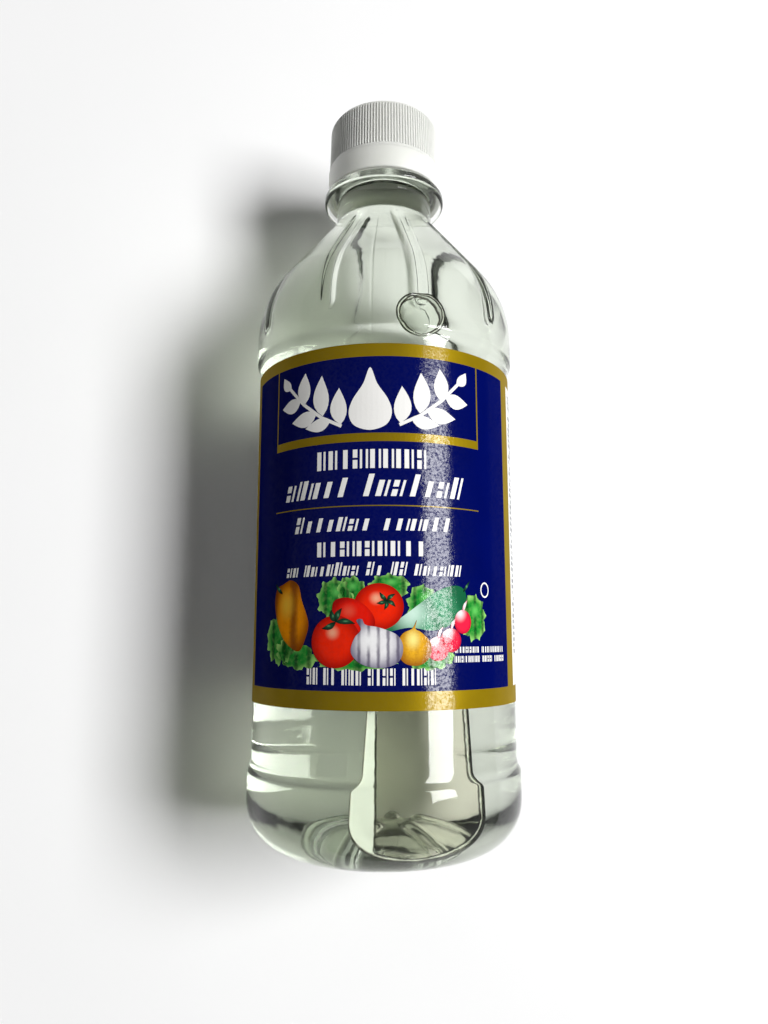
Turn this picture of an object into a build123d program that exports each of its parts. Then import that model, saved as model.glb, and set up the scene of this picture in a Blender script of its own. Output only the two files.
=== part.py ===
from build123d import *
import os
from math import acos, atan2, cos, degrees, radians, sin, sqrt, tan

# A clear plastic bottle of vinegar with a ribbed white screw cap, lying on its side.
# The bottle's axis runs along +Y with the cap at the far end, +Z is up, and the part
# rests on Z = 0.  A "height" below is a distance along the axis, measured from the
# plane that the bottle would stand on.  An angle about the axis is measured from
# straight up, towards +X.

# ---- Driving dimensions: the body ---------------------------------------------------
WALL = 0.6  # blown wall of the body
RING_RADIUS = 33.7  # heel ring and shoulder ring, the two widest places
PANEL_RECESS = 0.95  # how far the panel that carries the label lies below them
PANEL_LENGTH = 98.2  # straight part of that panel
STEP_RADIUS = 1.5  # each of the two bends between a ring and the panel
HEEL_RADIUS = 14.0  # rounding from the standing edge up to the heel ring
HEEL_BAND = 4.0  # straight part of the heel ring
SHOULDER_BAND = 6.2  # straight part of the shoulder ring
SHOULDER_RADIUS = 26.2  # rounding from the shoulder ring into the cone
CONE_ANGLE = 38.7  # between the cone's side and the axis
PUSH_UP = 7.0  # rise of the domed base at its middle
BEAD_RADIUS = 2.5  # inner side of the standing edge

# ---- Driving dimensions: grooves pressed into the body --------------------------------
FLUTE_COUNT = 10  # grooves down the shoulder
FLUTE_RADIUS = 2.25  # round bottom of a flute
FLUTE_DEPTH = 0.9
FLUTE_TOP_MARGIN = 2.6  # from the neck's radius out to the middle of a flute's upper end
RIB_COUNT = 5  # grooves across the domed base
RIB_RADIUS = 2.2
RIB_DEPTH = 1.4
RIB_INNER = 7.0  # radius at which a base groove starts
RIB_MARGIN = 1.0  # from the outer end of a base groove to the standing edge
RIB_ANGLE = 25.0  # of the first base groove
SEAM_ANGLE = -19.0  # mould parting line, midway between two flutes

# ---- Driving dimensions: neck and finish ----------------------------------------------
NECK_RADIUS = 13.0
NECK_WALL = 2.1
NECK_FILLET = 3.0  # between the cone and the neck
NECK_LENGTH = 5.3  # from that fillet to the support ring
SUPPORT_LIP = 3.5  # how far the support ring stands out from the neck
SUPPORT_THICKNESS = 2.4
SUPPORT_EDGE = 0.9  # rounding of its rim
FINISH_WALL = 1.5  # threaded end, without its thread
FINISH_HEIGHT = 18.7  # above the support ring
THREAD_PITCH = 3.2
THREAD_HEIGHT = 1.2  # how far the thread stands out
THREAD_TURNS = 1.6
THREAD_FOOT = 2.2  # width of the thread at its root
THREAD_CREST = 0.9
THREAD_DROP = 3.4  # from the top of the finish down to the thread's last turn

# ---- Driving dimensions: closure -------------------------------------------------------
CAP_WALL = 1.45  # skirt at its lower edge
CAP_DRAFT = 0.35  # how much narrower the skirt is at the top
CAP_CORNER = 1.7  # rounding of the top edge
CAP_TOP = 2.1  # thickness of the top, which seals on the finish
THREAD_CLEARANCE = 0.2  # between the thread and the cap's bore
GRIP_COUNT = 120  # fine grooves round the skirt
GRIP_DEPTH = 0.35
GRIP_WIDTH = 0.46
GRIP_FOOT = 0.9  # plain strip below the grooves
BAND_WALL = 1.7  # tamper band
BAND_HEIGHT = 6.2
BAND_LIFT = 0.9  # between the support ring and the band
BAND_EDGE = 0.4  # rounding of the band's lower edge
SLIT = 0.3  # cut between the band and the skirt
BRIDGE_COUNT = 8  # small bridges left across the slit
BRIDGE_SIZE = 0.8

# ---- Driving dimensions: label, drink and resting place ---------------------------------
LABEL_THICKNESS = 0.12
LABEL_GAP = 0.03  # glue line between the label and the panel
LABEL_BELOW = 14.4  # bare panel below the label
LABEL_ABOVE = 2.5  # bare panel above it
FILL_GAP = 0.1  # between the drink and what holds it
AIR_DEPTH = 2.2  # air pocket under the panel's upper wall, at AIR_HEIGHT
AIR_HEIGHT = 25.0
AIR_SLOPE = 1.5  # angle by which the drink's surface rises towards the cap
BUBBLE_RADIUS = 5.4  # flat bubble caught under the shoulder ring
BUBBLE_DEPTH = 3.2
BUBBLE_OFFSET = 3.1  # from the start of the shoulder's rounding back to the bubble
BUBBLE_ANGLE = 1.0  # of the bubble about the axis
REST_WIDTH = 7.0  # flat pressed on the underside of both rings

SAME_SIZE = 1e-6  # two radii that differ by less are the same

# ---- Radii and heights worked out along the body ---------------------------------------
cone = radians(CONE_ANGLE)
panel_radius = RING_RADIUS - PANEL_RECESS
stand_radius = RING_RADIUS - HEEL_RADIUS
dome_radius = (stand_radius**2 + PUSH_UP**2) / (2 * PUSH_UP) - BEAD_RADIUS
dome_centre = PUSH_UP - dome_radius
dome_edge = degrees(atan2(BEAD_RADIUS - dome_centre, stand_radius))
step_bend = acos(1 - PANEL_RECESS / (2 * STEP_RADIUS))
step_length = 2 * STEP_RADIUS * sin(step_bend)
heel_top = HEEL_RADIUS + HEEL_BAND
panel_start = heel_top + step_length
panel_end = panel_start + PANEL_LENGTH
ring_start = panel_end + step_length
shoulder_start = ring_start + SHOULDER_BAND

bore_radius = NECK_RADIUS - NECK_WALL
support_radius = NECK_RADIUS + SUPPORT_LIP
finish_radius = bore_radius + FINISH_WALL
cap_bore = finish_radius + THREAD_HEIGHT + THREAD_CLEARANCE
cap_radius = cap_bore + CAP_WALL
band_radius = cap_bore + BAND_WALL


def neck_start(inset: float, neck_radius: float) -> float:
    """Height at which the straight neck begins, on a skin that lies inset inside the outside."""
    reach = NECK_FILLET + inset
    bend_end_radius = RING_RADIUS - SHOULDER_RADIUS + (SHOULDER_RADIUS - inset) * cos(cone)
    bend_end_height = shoulder_start + (SHOULDER_RADIUS - inset) * sin(cone)
    fillet_radius = neck_radius + reach * (1 - cos(cone))
    return bend_end_height + (bend_end_radius - fillet_radius) / tan(cone) + reach * sin(cone)


support_base = neck_start(0, NECK_RADIUS) + NECK_LENGTH
support_top = support_base + SUPPORT_THICKNESS
finish_top = support_top + FINISH_HEIGHT
band_base = support_top + BAND_LIFT
band_top = band_base + BAND_HEIGHT
skirt_base = band_top + SLIT
cap_top = finish_top + CAP_TOP

# ---- Where the bottle lies -----------------------------------------------------------------
axis_height = sqrt(RING_RADIUS**2 - (REST_WIDTH / 2) ** 2)
foot_point = Vector(0, -cap_top / 2, axis_height)
foot_plane = Plane(origin=foot_point, x_dir=(0, 0, 1), z_dir=(0, 1, 0))  # x up, y to +X, z along the axis
section_plane = Plane(origin=foot_point, x_dir=(0, 0, 1), z_dir=(-1, 0, 0))  # x outwards, y along the axis
spin_axis = Axis(foot_point, (0, 1, 0))


def body_section(inset: float, neck_radius: float, top: float) -> Sketch:
    """Half of the body's section, on a skin that lies inset inside the outside."""
    ring = RING_RADIUS - inset
    panel = panel_radius - inset
    bend = degrees(step_bend)
    fillet_radius = NECK_FILLET + inset
    neck_centre = (neck_radius + fillet_radius, neck_start(inset, neck_radius))
    shoulder_centre = (RING_RADIUS - SHOULDER_RADIUS, shoulder_start)
    step_out = RING_RADIUS - STEP_RADIUS
    step_in = panel_radius + STEP_RADIUS
    with BuildSketch(section_plane) as section:
        with BuildLine():
            dome = CenterArc((0, dome_centre), dome_radius + inset, 90, dome_edge - 90)
            CenterArc((stand_radius, BEAD_RADIUS), BEAD_RADIUS - inset, 180 + dome_edge, 90 - dome_edge)
            heel = CenterArc((stand_radius, HEEL_RADIUS), HEEL_RADIUS - inset, 270, 90)
            Line(heel @ 1, (ring, heel_top))
            CenterArc((step_out, heel_top), STEP_RADIUS - inset, 0, bend)
            CenterArc((step_in, panel_start), STEP_RADIUS + inset, 180 + bend, -bend)
            Line((panel, panel_start), (panel, panel_end))
            CenterArc((step_in, panel_end), STEP_RADIUS + inset, 180, -bend)
            CenterArc((step_out, ring_start), STEP_RADIUS - inset, -bend, bend)
            Line((ring, ring_start), (ring, shoulder_start))
            shoulder = CenterArc(shoulder_centre, SHOULDER_RADIUS - inset, 0, CONE_ANGLE)
            neck = CenterArc(neck_centre, fillet_radius, 180 + CONE_ANGLE, -CONE_ANGLE)
            Line(shoulder @ 1, neck @ 0)
            Polyline(neck @ 1, (neck_radius, top), (0, top), dome @ 0)
        make_face()
    return section.sketch


def groove(centre, bend_radius: float, start: float, turn: float, run: float, radius: float):
    """A round cutter in the upright XZ plane: an arc about centre, then a straight run."""

    def station(angle: float) -> Plane:
        across = (-sin(radians(angle)), 0, cos(radians(angle)))
        x = centre[0] + bend_radius * cos(radians(angle))
        z = centre[1] + bend_radius * sin(radians(angle))
        return Plane(origin=(x, 0, z), x_dir=(0, 1, 0), z_dir=across)

    first = station(start)
    last = station(start + turn)
    far_end = last.origin + last.z_dir * run
    with BuildPart() as cutter:
        with BuildSketch(first):
            Circle(radius)
        revolve(axis=Axis((centre[0], 0, centre[1]), (0, -1, 0)), revolution_arc=turn)
        if run > 0:
            with BuildSketch(last):
                Circle(radius)
            extrude(amount=run)
        with Locations(first.origin, far_end):
            Sphere(radius)
    return cutter.part


def flute_cutter(inset: float):
    """Cutter for one shoulder flute, from the shoulder ring up to the neck."""
    path_radius = SHOULDER_RADIUS + FLUTE_RADIUS - FLUTE_DEPTH
    bend_end = RING_RADIUS - SHOULDER_RADIUS * (1 - cos(cone))
    run = (bend_end - NECK_RADIUS - FLUTE_TOP_MARGIN) / sin(cone)
    centre = (RING_RADIUS - SHOULDER_RADIUS, shoulder_start)
    return groove(centre, path_radius, 0, CONE_ANGLE, run, FLUTE_RADIUS + inset)


def rib_cutter(inset: float):
    """Cutter for one groove of the domed base, from near its middle to the standing edge."""
    path_radius = dome_radius - RIB_RADIUS + RIB_DEPTH
    outer_end = degrees(acos((stand_radius - RIB_MARGIN) / path_radius))
    inner_end = degrees(acos(RIB_INNER / path_radius))
    return groove((0, dome_centre), path_radius, outer_end, inner_end - outer_end, 0, RIB_RADIUS + inset)


def body_skin(inset: float, neck_radius: float, top: float) -> Part:
    """All that lies within the skin inset inside the outside, with its flutes and base grooves."""
    section = body_section(inset, neck_radius, top)
    flute = flute_cutter(inset)
    rib = rib_cutter(inset)
    with BuildPart(foot_plane) as skin:
        revolve(section, axis=spin_axis)
        with PolarLocations(0, FLUTE_COUNT, start_angle=SEAM_ANGLE + 180 / FLUTE_COUNT):
            add(flute, mode=Mode.SUBTRACT)
        with PolarLocations(0, RIB_COUNT, start_angle=RIB_ANGLE):
            add(rib, mode=Mode.SUBTRACT)
    return skin.part


# ---- Screw thread, upright about Z, with its middle turn at Z = 0 ----------------------------
with BuildPart() as thread:
    with BuildLine() as thread_path:
        Helix(THREAD_PITCH, THREAD_PITCH * THREAD_TURNS, finish_radius - THREAD_CLEARANCE)
    thread_start = Plane(origin=thread_path.line @ 0, x_dir=(1, 0, 0), z_dir=thread_path.line % 0)
    with BuildSketch(thread_start):
        with BuildLine():
            crest = THREAD_HEIGHT + THREAD_CLEARANCE
            Polyline(
                (0, -THREAD_FOOT / 2),
                (crest, -THREAD_CREST / 2),
                (crest, THREAD_CREST / 2),
                (0, THREAD_FOOT / 2),
                close=True,
            )
        make_face()
    sweep(path=thread_path.line, is_frenet=True)

# ---- Bottle: body, neck, support ring and finish as one blown piece ----------------------------
outside = body_skin(0, NECK_RADIUS, support_base)
inside = body_skin(WALL, bore_radius, finish_top)
thread_base = finish_top - THREAD_DROP - THREAD_PITCH * THREAD_TURNS
with BuildPart() as bottle:
    add(outside)
    with Locations(foot_plane.offset(support_base)):
        Cylinder(support_radius, SUPPORT_THICKNESS, align=(Align.CENTER, Align.CENTER, Align.MIN))
    rims = bottle.edges().filter_by(GeomType.CIRCLE)
    fillet(rims.filter_by(lambda rim: abs(rim.radius - support_radius) < SAME_SIZE), SUPPORT_EDGE)
    with Locations(foot_plane.offset(support_top)):
        Cylinder(finish_radius, FINISH_HEIGHT, align=(Align.CENTER, Align.CENTER, Align.MIN))
    with Locations(foot_plane.offset(thread_base)):
        add(thread.part)
    add(inside, mode=Mode.SUBTRACT)
    split(bisect_by=Plane.XY, keep=Keep.TOP)

# ---- Vinegar: everything inside below its surface, and round the bubble ------------------------
fill_inset = WALL + FILL_GAP
fill = body_skin(fill_inset, bore_radius - FILL_GAP, finish_top - FILL_GAP)
level = panel_radius - fill_inset - AIR_DEPTH
level_normal = (0, -sin(radians(AIR_SLOPE)), cos(radians(AIR_SLOPE)))
level_plane = Plane(foot_point + Vector(0, AIR_HEIGHT, level), x_dir=(1, 0, 0), z_dir=level_normal)
pocket_end = AIR_DEPTH / tan(radians(AIR_SLOPE))
bubble_sphere = (BUBBLE_RADIUS**2 + BUBBLE_DEPTH**2) / (2 * BUBBLE_DEPTH)
bubble_reach = RING_RADIUS - WALL - BUBBLE_DEPTH + bubble_sphere
bubble_plane = foot_plane.offset(shoulder_start - BUBBLE_OFFSET).rotated((0, 0, BUBBLE_ANGLE))
with BuildPart() as vinegar:
    add(fill)
    with BuildSketch(level_plane):
        with Locations((0, pocket_end)):
            Rectangle(2 * RING_RADIUS, pocket_end + AIR_HEIGHT, align=(Align.CENTER, Align.MAX))
    extrude(amount=RING_RADIUS, mode=Mode.SUBTRACT)
    with Locations(bubble_plane.from_local_coords((bubble_reach, 0))):
        Sphere(bubble_sphere, mode=Mode.SUBTRACT)

# ---- Label: a paper sleeve round the recessed panel ----------------------------------------------
label_inner = panel_radius + LABEL_GAP
label_base = panel_start + LABEL_BELOW
label_height = PANEL_LENGTH - LABEL_BELOW - LABEL_ABOVE
with BuildPart(foot_plane) as label:
    with BuildSketch(foot_plane.offset(label_base)):
        Circle(label_inner + LABEL_THICKNESS)
        Circle(label_inner, mode=Mode.SUBTRACT)
    extrude(amount=label_height)

# ---- Cap: a tapered skirt with fine grip grooves, closed at the top ------------------------------
with BuildPart(foot_plane) as cap:
    with BuildSketch(section_plane) as cap_section:
        with BuildLine():
            Polyline(
                (cap_bore, skirt_base),
                (cap_radius, skirt_base),
                (cap_radius - CAP_DRAFT, cap_top),
                (0, cap_top),
                (0, finish_top),
                (cap_bore, finish_top),
                close=True,
            )
        make_face()
        top_corner = cap_section.vertices().group_by(Axis.Y)[-1].sort_by(Axis.X)[-1]
        fillet(top_corner, CAP_CORNER)
    revolve(axis=spin_axis)
    grip_base = skirt_base + GRIP_FOOT
    grip_height = cap_top - CAP_CORNER / 2 - grip_base
    with BuildSketch(foot_plane.offset(grip_base)):
        with PolarLocations(cap_radius - CAP_DRAFT / 2, GRIP_COUNT):
            Rectangle(2 * GRIP_DEPTH, GRIP_WIDTH)
    extrude(amount=grip_height, mode=Mode.SUBTRACT)

# ---- Tamper band: a plain ring below the skirt, held to it by small bridges ----------------------
band_middle = (cap_bore + band_radius) / 2
with BuildPart(foot_plane) as tamper_band:
    with BuildSketch(foot_plane.offset(band_base)):
        Circle(band_radius)
        Circle(cap_bore, mode=Mode.SUBTRACT)
    extrude(amount=BAND_HEIGHT)
    lower_edges = tamper_band.edges().group_by(Axis.Y)[0].sort_by(SortBy.RADIUS)
    fillet(lower_edges[-1], BAND_EDGE)
    with BuildSketch(foot_plane.offset(band_top)):
        with PolarLocations(band_middle, BRIDGE_COUNT):
            Rectangle(BRIDGE_SIZE, BRIDGE_SIZE)
    extrude(amount=SLIT)

bottle.part.label = "bottle"
vinegar.part.label = "vinegar"
label.part.label = "label"
cap.part.label = "cap"
tamper_band.part.label = "tamper_band"

os.makedirs("parts", exist_ok=True)
export_step(bottle.part, "parts/bottle.step")
export_step(vinegar.part, "parts/vinegar.step")
export_step(label.part, "parts/label.step")
export_step(cap.part, "parts/cap.step")
export_step(tamper_band.part, "parts/tamper_band.step")
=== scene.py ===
"""Looks of a clear plastic vinegar bottle that lies on its side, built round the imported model.

Sizes are in millimetres until a mesh is made.  A height runs along the bottle's axis from the
plane that it would stand on, and an angle about the axis is measured in degrees from straight
up, towards +X.
"""

import logging
import math
from dataclasses import dataclass
from enum import Enum
from typing import Callable, Sequence

import bmesh
import bpy
import numpy as np
from mathutils import Matrix, Vector


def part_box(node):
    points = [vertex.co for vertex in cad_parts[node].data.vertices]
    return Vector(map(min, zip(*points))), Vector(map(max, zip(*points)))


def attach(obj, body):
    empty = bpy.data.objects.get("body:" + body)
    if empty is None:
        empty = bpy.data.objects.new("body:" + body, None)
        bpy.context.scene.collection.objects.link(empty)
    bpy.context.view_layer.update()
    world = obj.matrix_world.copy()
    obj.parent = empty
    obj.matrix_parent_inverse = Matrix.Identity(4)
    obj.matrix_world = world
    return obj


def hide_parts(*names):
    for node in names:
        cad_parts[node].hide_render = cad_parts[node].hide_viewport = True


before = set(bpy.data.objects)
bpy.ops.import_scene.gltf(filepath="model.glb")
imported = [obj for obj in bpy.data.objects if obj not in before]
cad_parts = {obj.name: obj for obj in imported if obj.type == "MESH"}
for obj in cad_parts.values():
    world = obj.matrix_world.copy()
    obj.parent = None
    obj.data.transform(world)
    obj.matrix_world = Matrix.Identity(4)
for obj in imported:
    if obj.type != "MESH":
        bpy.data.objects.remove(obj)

LOG = logging.getLogger("vinegar_bottle")
MM = 0.001
BODY = "root"
FAR = 99.0  # a distance in millimetres that lies beyond the end of every groove

# The types of node that are used most, and the setting that softens both ends of a range.
NOISE = "ShaderNodeTexNoise"
RANGE = "ShaderNodeMapRange"
MATH = "ShaderNodeMath"
MIX = "ShaderNodeMix"
BUMP = "ShaderNodeBump"
SKIN = "ShaderNodeBsdfPrincipled"
SOFT = {"interpolation_type": "SMOOTHSTEP"}

Point = tuple[float, float]
Outline = list[Point]
Node = bpy.types.Node
Socket = bpy.types.NodeSocket
Tree = bpy.types.NodeTree


# ---- Helpers -----------------------------------------------------------------------------


def linear(code: str) -> tuple[float, float, float, float]:
    """Turns an sRGB hex colour into the linear colour that a node takes.

    Args:
        code: the colour as #rrggbb.

    Returns:
        Red, green, blue and an alpha of 1.
    """
    shares = [int(code[i : i + 2], 16) / 255 for i in (1, 3, 5)]
    parts = [s / 12.92 if s <= 0.04045 else ((s + 0.055) / 1.055) ** 2.4 for s in shares]
    return (parts[0], parts[1], parts[2], 1.0)


def per_metre(size: float) -> float:
    """Gives the texture scale at which one pattern cell is this many millimetres wide."""
    return 1.0 / (size * MM)


def add_node(tree: Tree, kind: str, inputs: dict | Sequence = (), **settings: object) -> Node:
    """Adds a node with its settings and links.

    Args:
        tree: the tree that the node goes into.
        kind: the node's type.
        inputs: what its sockets take, by name or index, or in the order of its live sockets. It
            is a value, a socket, or a node, which stands for its first live output.
        **settings: attributes of the node itself.

    Returns:
        The new node.
    """
    node = tree.nodes.new(kind)
    for name, value in settings.items():
        setattr(node, name, value)
    if isinstance(inputs, dict):
        given = [(node.inputs[key], value) for key, value in inputs.items()]
    else:
        given = list(zip([socket for socket in node.inputs if socket.enabled], inputs))
    for socket, value in given:
        if isinstance(value, Node):
            value = next(made for made in value.outputs if made.enabled)
        if isinstance(value, Socket):
            tree.links.new(value, socket)
        else:
            socket.default_value = value
    return node


def smooth_loop(points: Outline, steps: int = 5) -> Outline:
    """Runs a smooth closed line through control points.

    Args:
        points: the control points in order.
        steps: points made between each two of them.

    Returns:
        The closed outline.
    """
    corners = np.array(points, float)
    line = []
    for i in range(len(corners)):
        a, b, c, d = (corners[(i + k) % len(corners)] for k in (-1, 0, 1, 2))
        for step in range(steps):
            t = step / steps
            bend = (2 * a - 5 * b + 4 * c - d) * t * t + (3 * b - a - 3 * c + d) * t**3
            line.append(tuple(b + 0.5 * ((c - a) * t + bend)))
    return line


def arc_points(centre: Point, radius: float, start: float, turn: float, steps: int) -> Outline:
    """Gives the points of an arc after its first one.

    Args:
        centre: the arc's centre.
        radius: its radius.
        start: the angle at which it starts, in degrees.
        turn: how far it turns, in degrees.
        steps: number of points.

    Returns:
        The points.
    """
    angles = [math.radians(start + turn * i / steps) for i in range(1, steps + 1)]
    return [(centre[0] + radius * math.cos(a), centre[1] + radius * math.sin(a)) for a in angles]


def link_piece(name: str, mesh: bpy.types.Mesh) -> bpy.types.Object:
    """Puts a mesh into the scene as an object at the origin."""
    piece = bpy.data.objects.new(name, mesh)
    bpy.context.scene.collection.objects.link(piece)
    return piece


def mesh_piece(name: str, points: np.ndarray, faces: list, crease: float = 40.0) -> bpy.types.Object:
    """Makes a smooth-shaded mesh object from points in millimetres.

    Args:
        name: the piece's name.
        points: an array of shape (n, 3).
        faces: lists of point indices.
        crease: edges that turn by more than this many degrees stay sharp.

    Returns:
        The object, at the origin.
    """
    mesh = bpy.data.meshes.new(name)
    mesh.from_pydata((np.asarray(points, float) * MM).tolist(), [], faces)
    mesh.validate()
    mesh.shade_smooth()
    mesh.set_sharp_from_angle(angle=math.radians(crease))
    return link_piece(name, mesh)


def band_faces(rows: int, columns: int, start: int = 0) -> list:
    """Gives the faces of rows of points that close round, with a pole at each end.

    Args:
        rows: number of rows.
        columns: points in each row.
        start: index of the first point.

    Returns:
        The faces. The first pole's index is start + rows * columns, and the last one follows it.
    """
    faces = []
    first_pole = start + rows * columns
    for j in range(columns):
        k = (j + 1) % columns
        faces.append((first_pole, start + k, start + j))
        for i in range(rows - 1):
            low, high = start + i * columns, start + (i + 1) * columns
            faces.append((low + j, low + k, high + k, high + j))
        top = start + (rows - 1) * columns
        faces.append((top + j, top + k, first_pole + 1))
    return faces


def ring_faces(rows: int, columns: int, closed: bool = True) -> list:
    """Gives the faces of rows of points that close round, without poles.

    Args:
        rows: number of rows.
        columns: points in each row.
        closed: whether the last row joins the first.

    Returns:
        The faces, row by row.
    """
    faces = []
    for i in range(rows if closed else rows - 1):
        low, high = i * columns, (i + 1) % rows * columns
        for j in range(columns):
            k = (j + 1) % columns
            faces.append((low + j, low + k, high + k, high + j))
    return faces


def dress(piece: bpy.types.Object, slot: str, *nodes: str) -> None:
    """Makes a finished piece ride with the bottle.

    Args:
        piece: the finished object.
        slot: the record's material slot; it is not used.
        *nodes: construction nodes that the piece stands for.
    """
    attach(piece, BODY)
    if nodes:
        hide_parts(*nodes)
    triangles = sum(len(face.vertices) - 2 for face in piece.data.polygons)
    LOG.info("%s: %d triangles", piece.name, triangles)


def apply_trees(piece: bpy.types.Object, steps: list) -> None:
    """Runs Geometry Nodes trees on a piece and keeps the plain mesh they make.

    Args:
        piece: the object to change.
        steps: a tree and its inputs by name, in the order they run.
    """
    for tree, values in steps:
        modifier = piece.modifiers.new(tree.name, "NODES")
        modifier.node_group = tree
        sockets = {item.name: item.identifier for item in tree.interface.items_tree}
        for name, value in values.items():
            modifier[sockets[name]] = value
    graph = bpy.context.evaluated_depsgraph_get()
    mesh = bpy.data.meshes.new_from_object(piece.evaluated_get(graph))
    piece.modifiers.clear()
    mesh.materials.clear()
    mesh.materials.append(steps[-1][1]["Material"])
    mesh.polygons.foreach_set("material_index", [0] * len(mesh.polygons))
    piece.data = mesh


def new_tree(
    name: str, floats: Sequence[str], counts: Sequence[str] = (), words: Sequence[str] = ()
) -> tuple:
    """Starts a Geometry Nodes tree.

    Args:
        name: the tree's name.
        floats: names of its inputs that take a number.
        counts: names of those that take a whole number.
        words: names of those that take text.

    Returns:
        The tree and the sockets of its inputs by name, with Geometry first and Material last.
    """
    tree = bpy.data.node_groups.new(name, "GeometryNodeTree")
    kinds = [("Geometry", "Geometry")] + [(label, "Float") for label in floats]
    kinds += [(label, "Int") for label in counts] + [(label, "String") for label in words]
    for label, kind in (*kinds, ("Material", "Material")):
        tree.interface.new_socket(label, in_out="INPUT", socket_type=f"NodeSocket{kind}")
    tree.interface.new_socket("Geometry", in_out="OUTPUT", socket_type="NodeSocketGeometry")
    return tree, add_node(tree, "NodeGroupInput").outputs


def end_tree(tree: Tree, geometry: Node, material: Socket) -> None:
    """Ends a tree in real geometry with its material set."""
    real = add_node(tree, "GeometryNodeRealizeInstances", [geometry])
    made = add_node(tree, "GeometryNodeSetMaterial", {"Geometry": real, "Material": material})
    add_node(tree, "NodeGroupOutput", {0: made})


def new_material(name: str) -> tuple:
    """Starts a material.

    Args:
        name: the material's name.

    Returns:
        The material, its empty tree, and the object-space coordinates.
    """
    material = bpy.data.materials.new(name)
    material.use_nodes = True
    tree = material.node_tree
    tree.nodes.clear()
    return material, tree, add_node(tree, "ShaderNodeTexCoord").outputs["Object"]


def drifting_colour(
    tree: Tree, place: Socket, colours: tuple[str, str], size: float, detail: float = 2.0
) -> Node:
    """Lets a colour drift slightly towards a second one, as no real batch is even.

    Args:
        tree: the material's tree.
        place: the coordinates.
        colours: the two colours.
        size: width of one cloud in millimetres.
        detail: how fine the clouds' edges are.

    Returns:
        The node that gives the colour.
    """
    cloud = add_node(tree, NOISE, {"Vector": place, "Scale": per_metre(size), "Detail": detail})
    return add_node(tree, MIX, [cloud, *map(linear, colours)], data_type="RGBA")


def uneven_normal(tree: Tree, place: Socket, size: float, depth: float, roughness: float = 0.5) -> Node:
    """Makes a skin uneven.

    Args:
        tree: the material's tree.
        place: the coordinates.
        size: width of one wave or grain in millimetres.
        depth: its depth in millimetres.
        roughness: how much its finer parts count.

    Returns:
        The node that gives the uneven normal.
    """
    cell = {"Vector": place, "Scale": per_metre(size), "Detail": 2.0, "Roughness": roughness}
    grain = add_node(tree, NOISE, cell)
    return add_node(tree, BUMP, {"Height": grain, "Distance": depth * MM, "Strength": 1.0})


# ---- Finishes ----------------------------------------------------------------------------


@dataclass(frozen=True)
class MeniscusPaintedLight:
    """Painted light at the edge of a pocket of air, where the drink curls up to the wall: a painted shade
    line at the wall, a painted highlight band and a second painted shade line, and painted warm shade on the
    floor of a long pocket. The marks stand for light and shade that the drink's surface bends, mirrors and
    lets through.

    Each pair is the distance in millimetres at which a line or band begins to show and the one
    at which it shows in full, or the other way round where it fades.
    """

    painted_shade_tint: str = "#26241c"
    painted_highlight_tint: str = "#fdfdfb"
    painted_pocket_shade_tint: str = "#ddd2c0"
    first_shade_line: Point = (0.42, 0.24)
    second_shade_line: Point = (0.3, 0.12)
    highlight_start: Point = (0.35, 0.6)
    highlight_end: Point = (0.1, 0.4)
    ragged: float = 0.5
    ragged_size: float = 1.6
    highlight_cover: float = 0.95
    least_gap: float = -0.005

    def show(self, tree: Tree, place: Socket, tint: str) -> tuple[Node, Node]:
        """Paints the shade lines, the highlight band and the warm pocket shade into the drink's material.

        Args:
            tree: the material's tree.
            place: the coordinates.
            tint: the drink's own tint.

        Returns:
            The tint and the share of light that passes.
        """
        marks = [
            add_node(tree, "ShaderNodeAttribute", attribute_name=name).outputs["Fac"]
            for name in ("edge_gap", "edge_highlight_band", "edge_pocket_shade")
        ]
        gap, band, deep = marks
        cell = {"Vector": place, "Scale": per_metre(self.ragged_size), "Detail": 3.0}
        rough = add_node(tree, NOISE, cell)
        least = add_node(tree, MATH, [band, self.ragged / 2], operation="SUBTRACT")
        ragged = add_node(tree, MATH, [rough, self.ragged, least], operation="MULTIPLY_ADD")
        inside = add_node(tree, MATH, [gap, self.least_gap], operation="GREATER_THAN")
        # Painted shade: a dark line along the wall, and a second one where the painted highlight band ends.
        shade_line_at_wall = add_node(tree, RANGE, [gap, *self.first_shade_line], **SOFT)
        first = add_node(tree, MATH, [inside, shade_line_at_wall], operation="MULTIPLY")
        past = add_node(tree, MATH, [gap, ragged], operation="SUBTRACT")
        apart = add_node(tree, MATH, [past], operation="ABSOLUTE")
        shade_line_past_band = add_node(tree, RANGE, [apart, *self.second_shade_line], **SOFT)
        second = add_node(tree, MATH, [inside, shade_line_past_band], operation="MULTIPLY")
        dark = add_node(tree, MATH, [first, second], operation="MAXIMUM")
        # Painted highlight: a near-white band between the two shade lines, which lets little light through so
        # that the lamp lights it like paper.
        highlight_begun = add_node(tree, RANGE, [gap, *self.highlight_start], **SOFT)
        left = add_node(tree, MATH, [ragged, gap], operation="SUBTRACT")
        highlight_not_over = add_node(tree, RANGE, [left, *self.highlight_end], **SOFT)
        bright = add_node(tree, MATH, [highlight_begun, highlight_not_over], operation="MULTIPLY")
        # Painted warm shade on the long pocket's floor, then the painted shade lines and the painted
        # highlight band, laid over the drink's tint.
        colour = linear(tint)
        for share, toward in ((deep, self.painted_pocket_shade_tint), (dark, self.painted_shade_tint), (bright, self.painted_highlight_tint)):
            colour = add_node(tree, MIX, [share, colour, linear(toward)], data_type="RGBA")
        return colour, add_node(tree, MATH, [bright, -self.highlight_cover, 1.0], operation="MULTIPLY_ADD")


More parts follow.
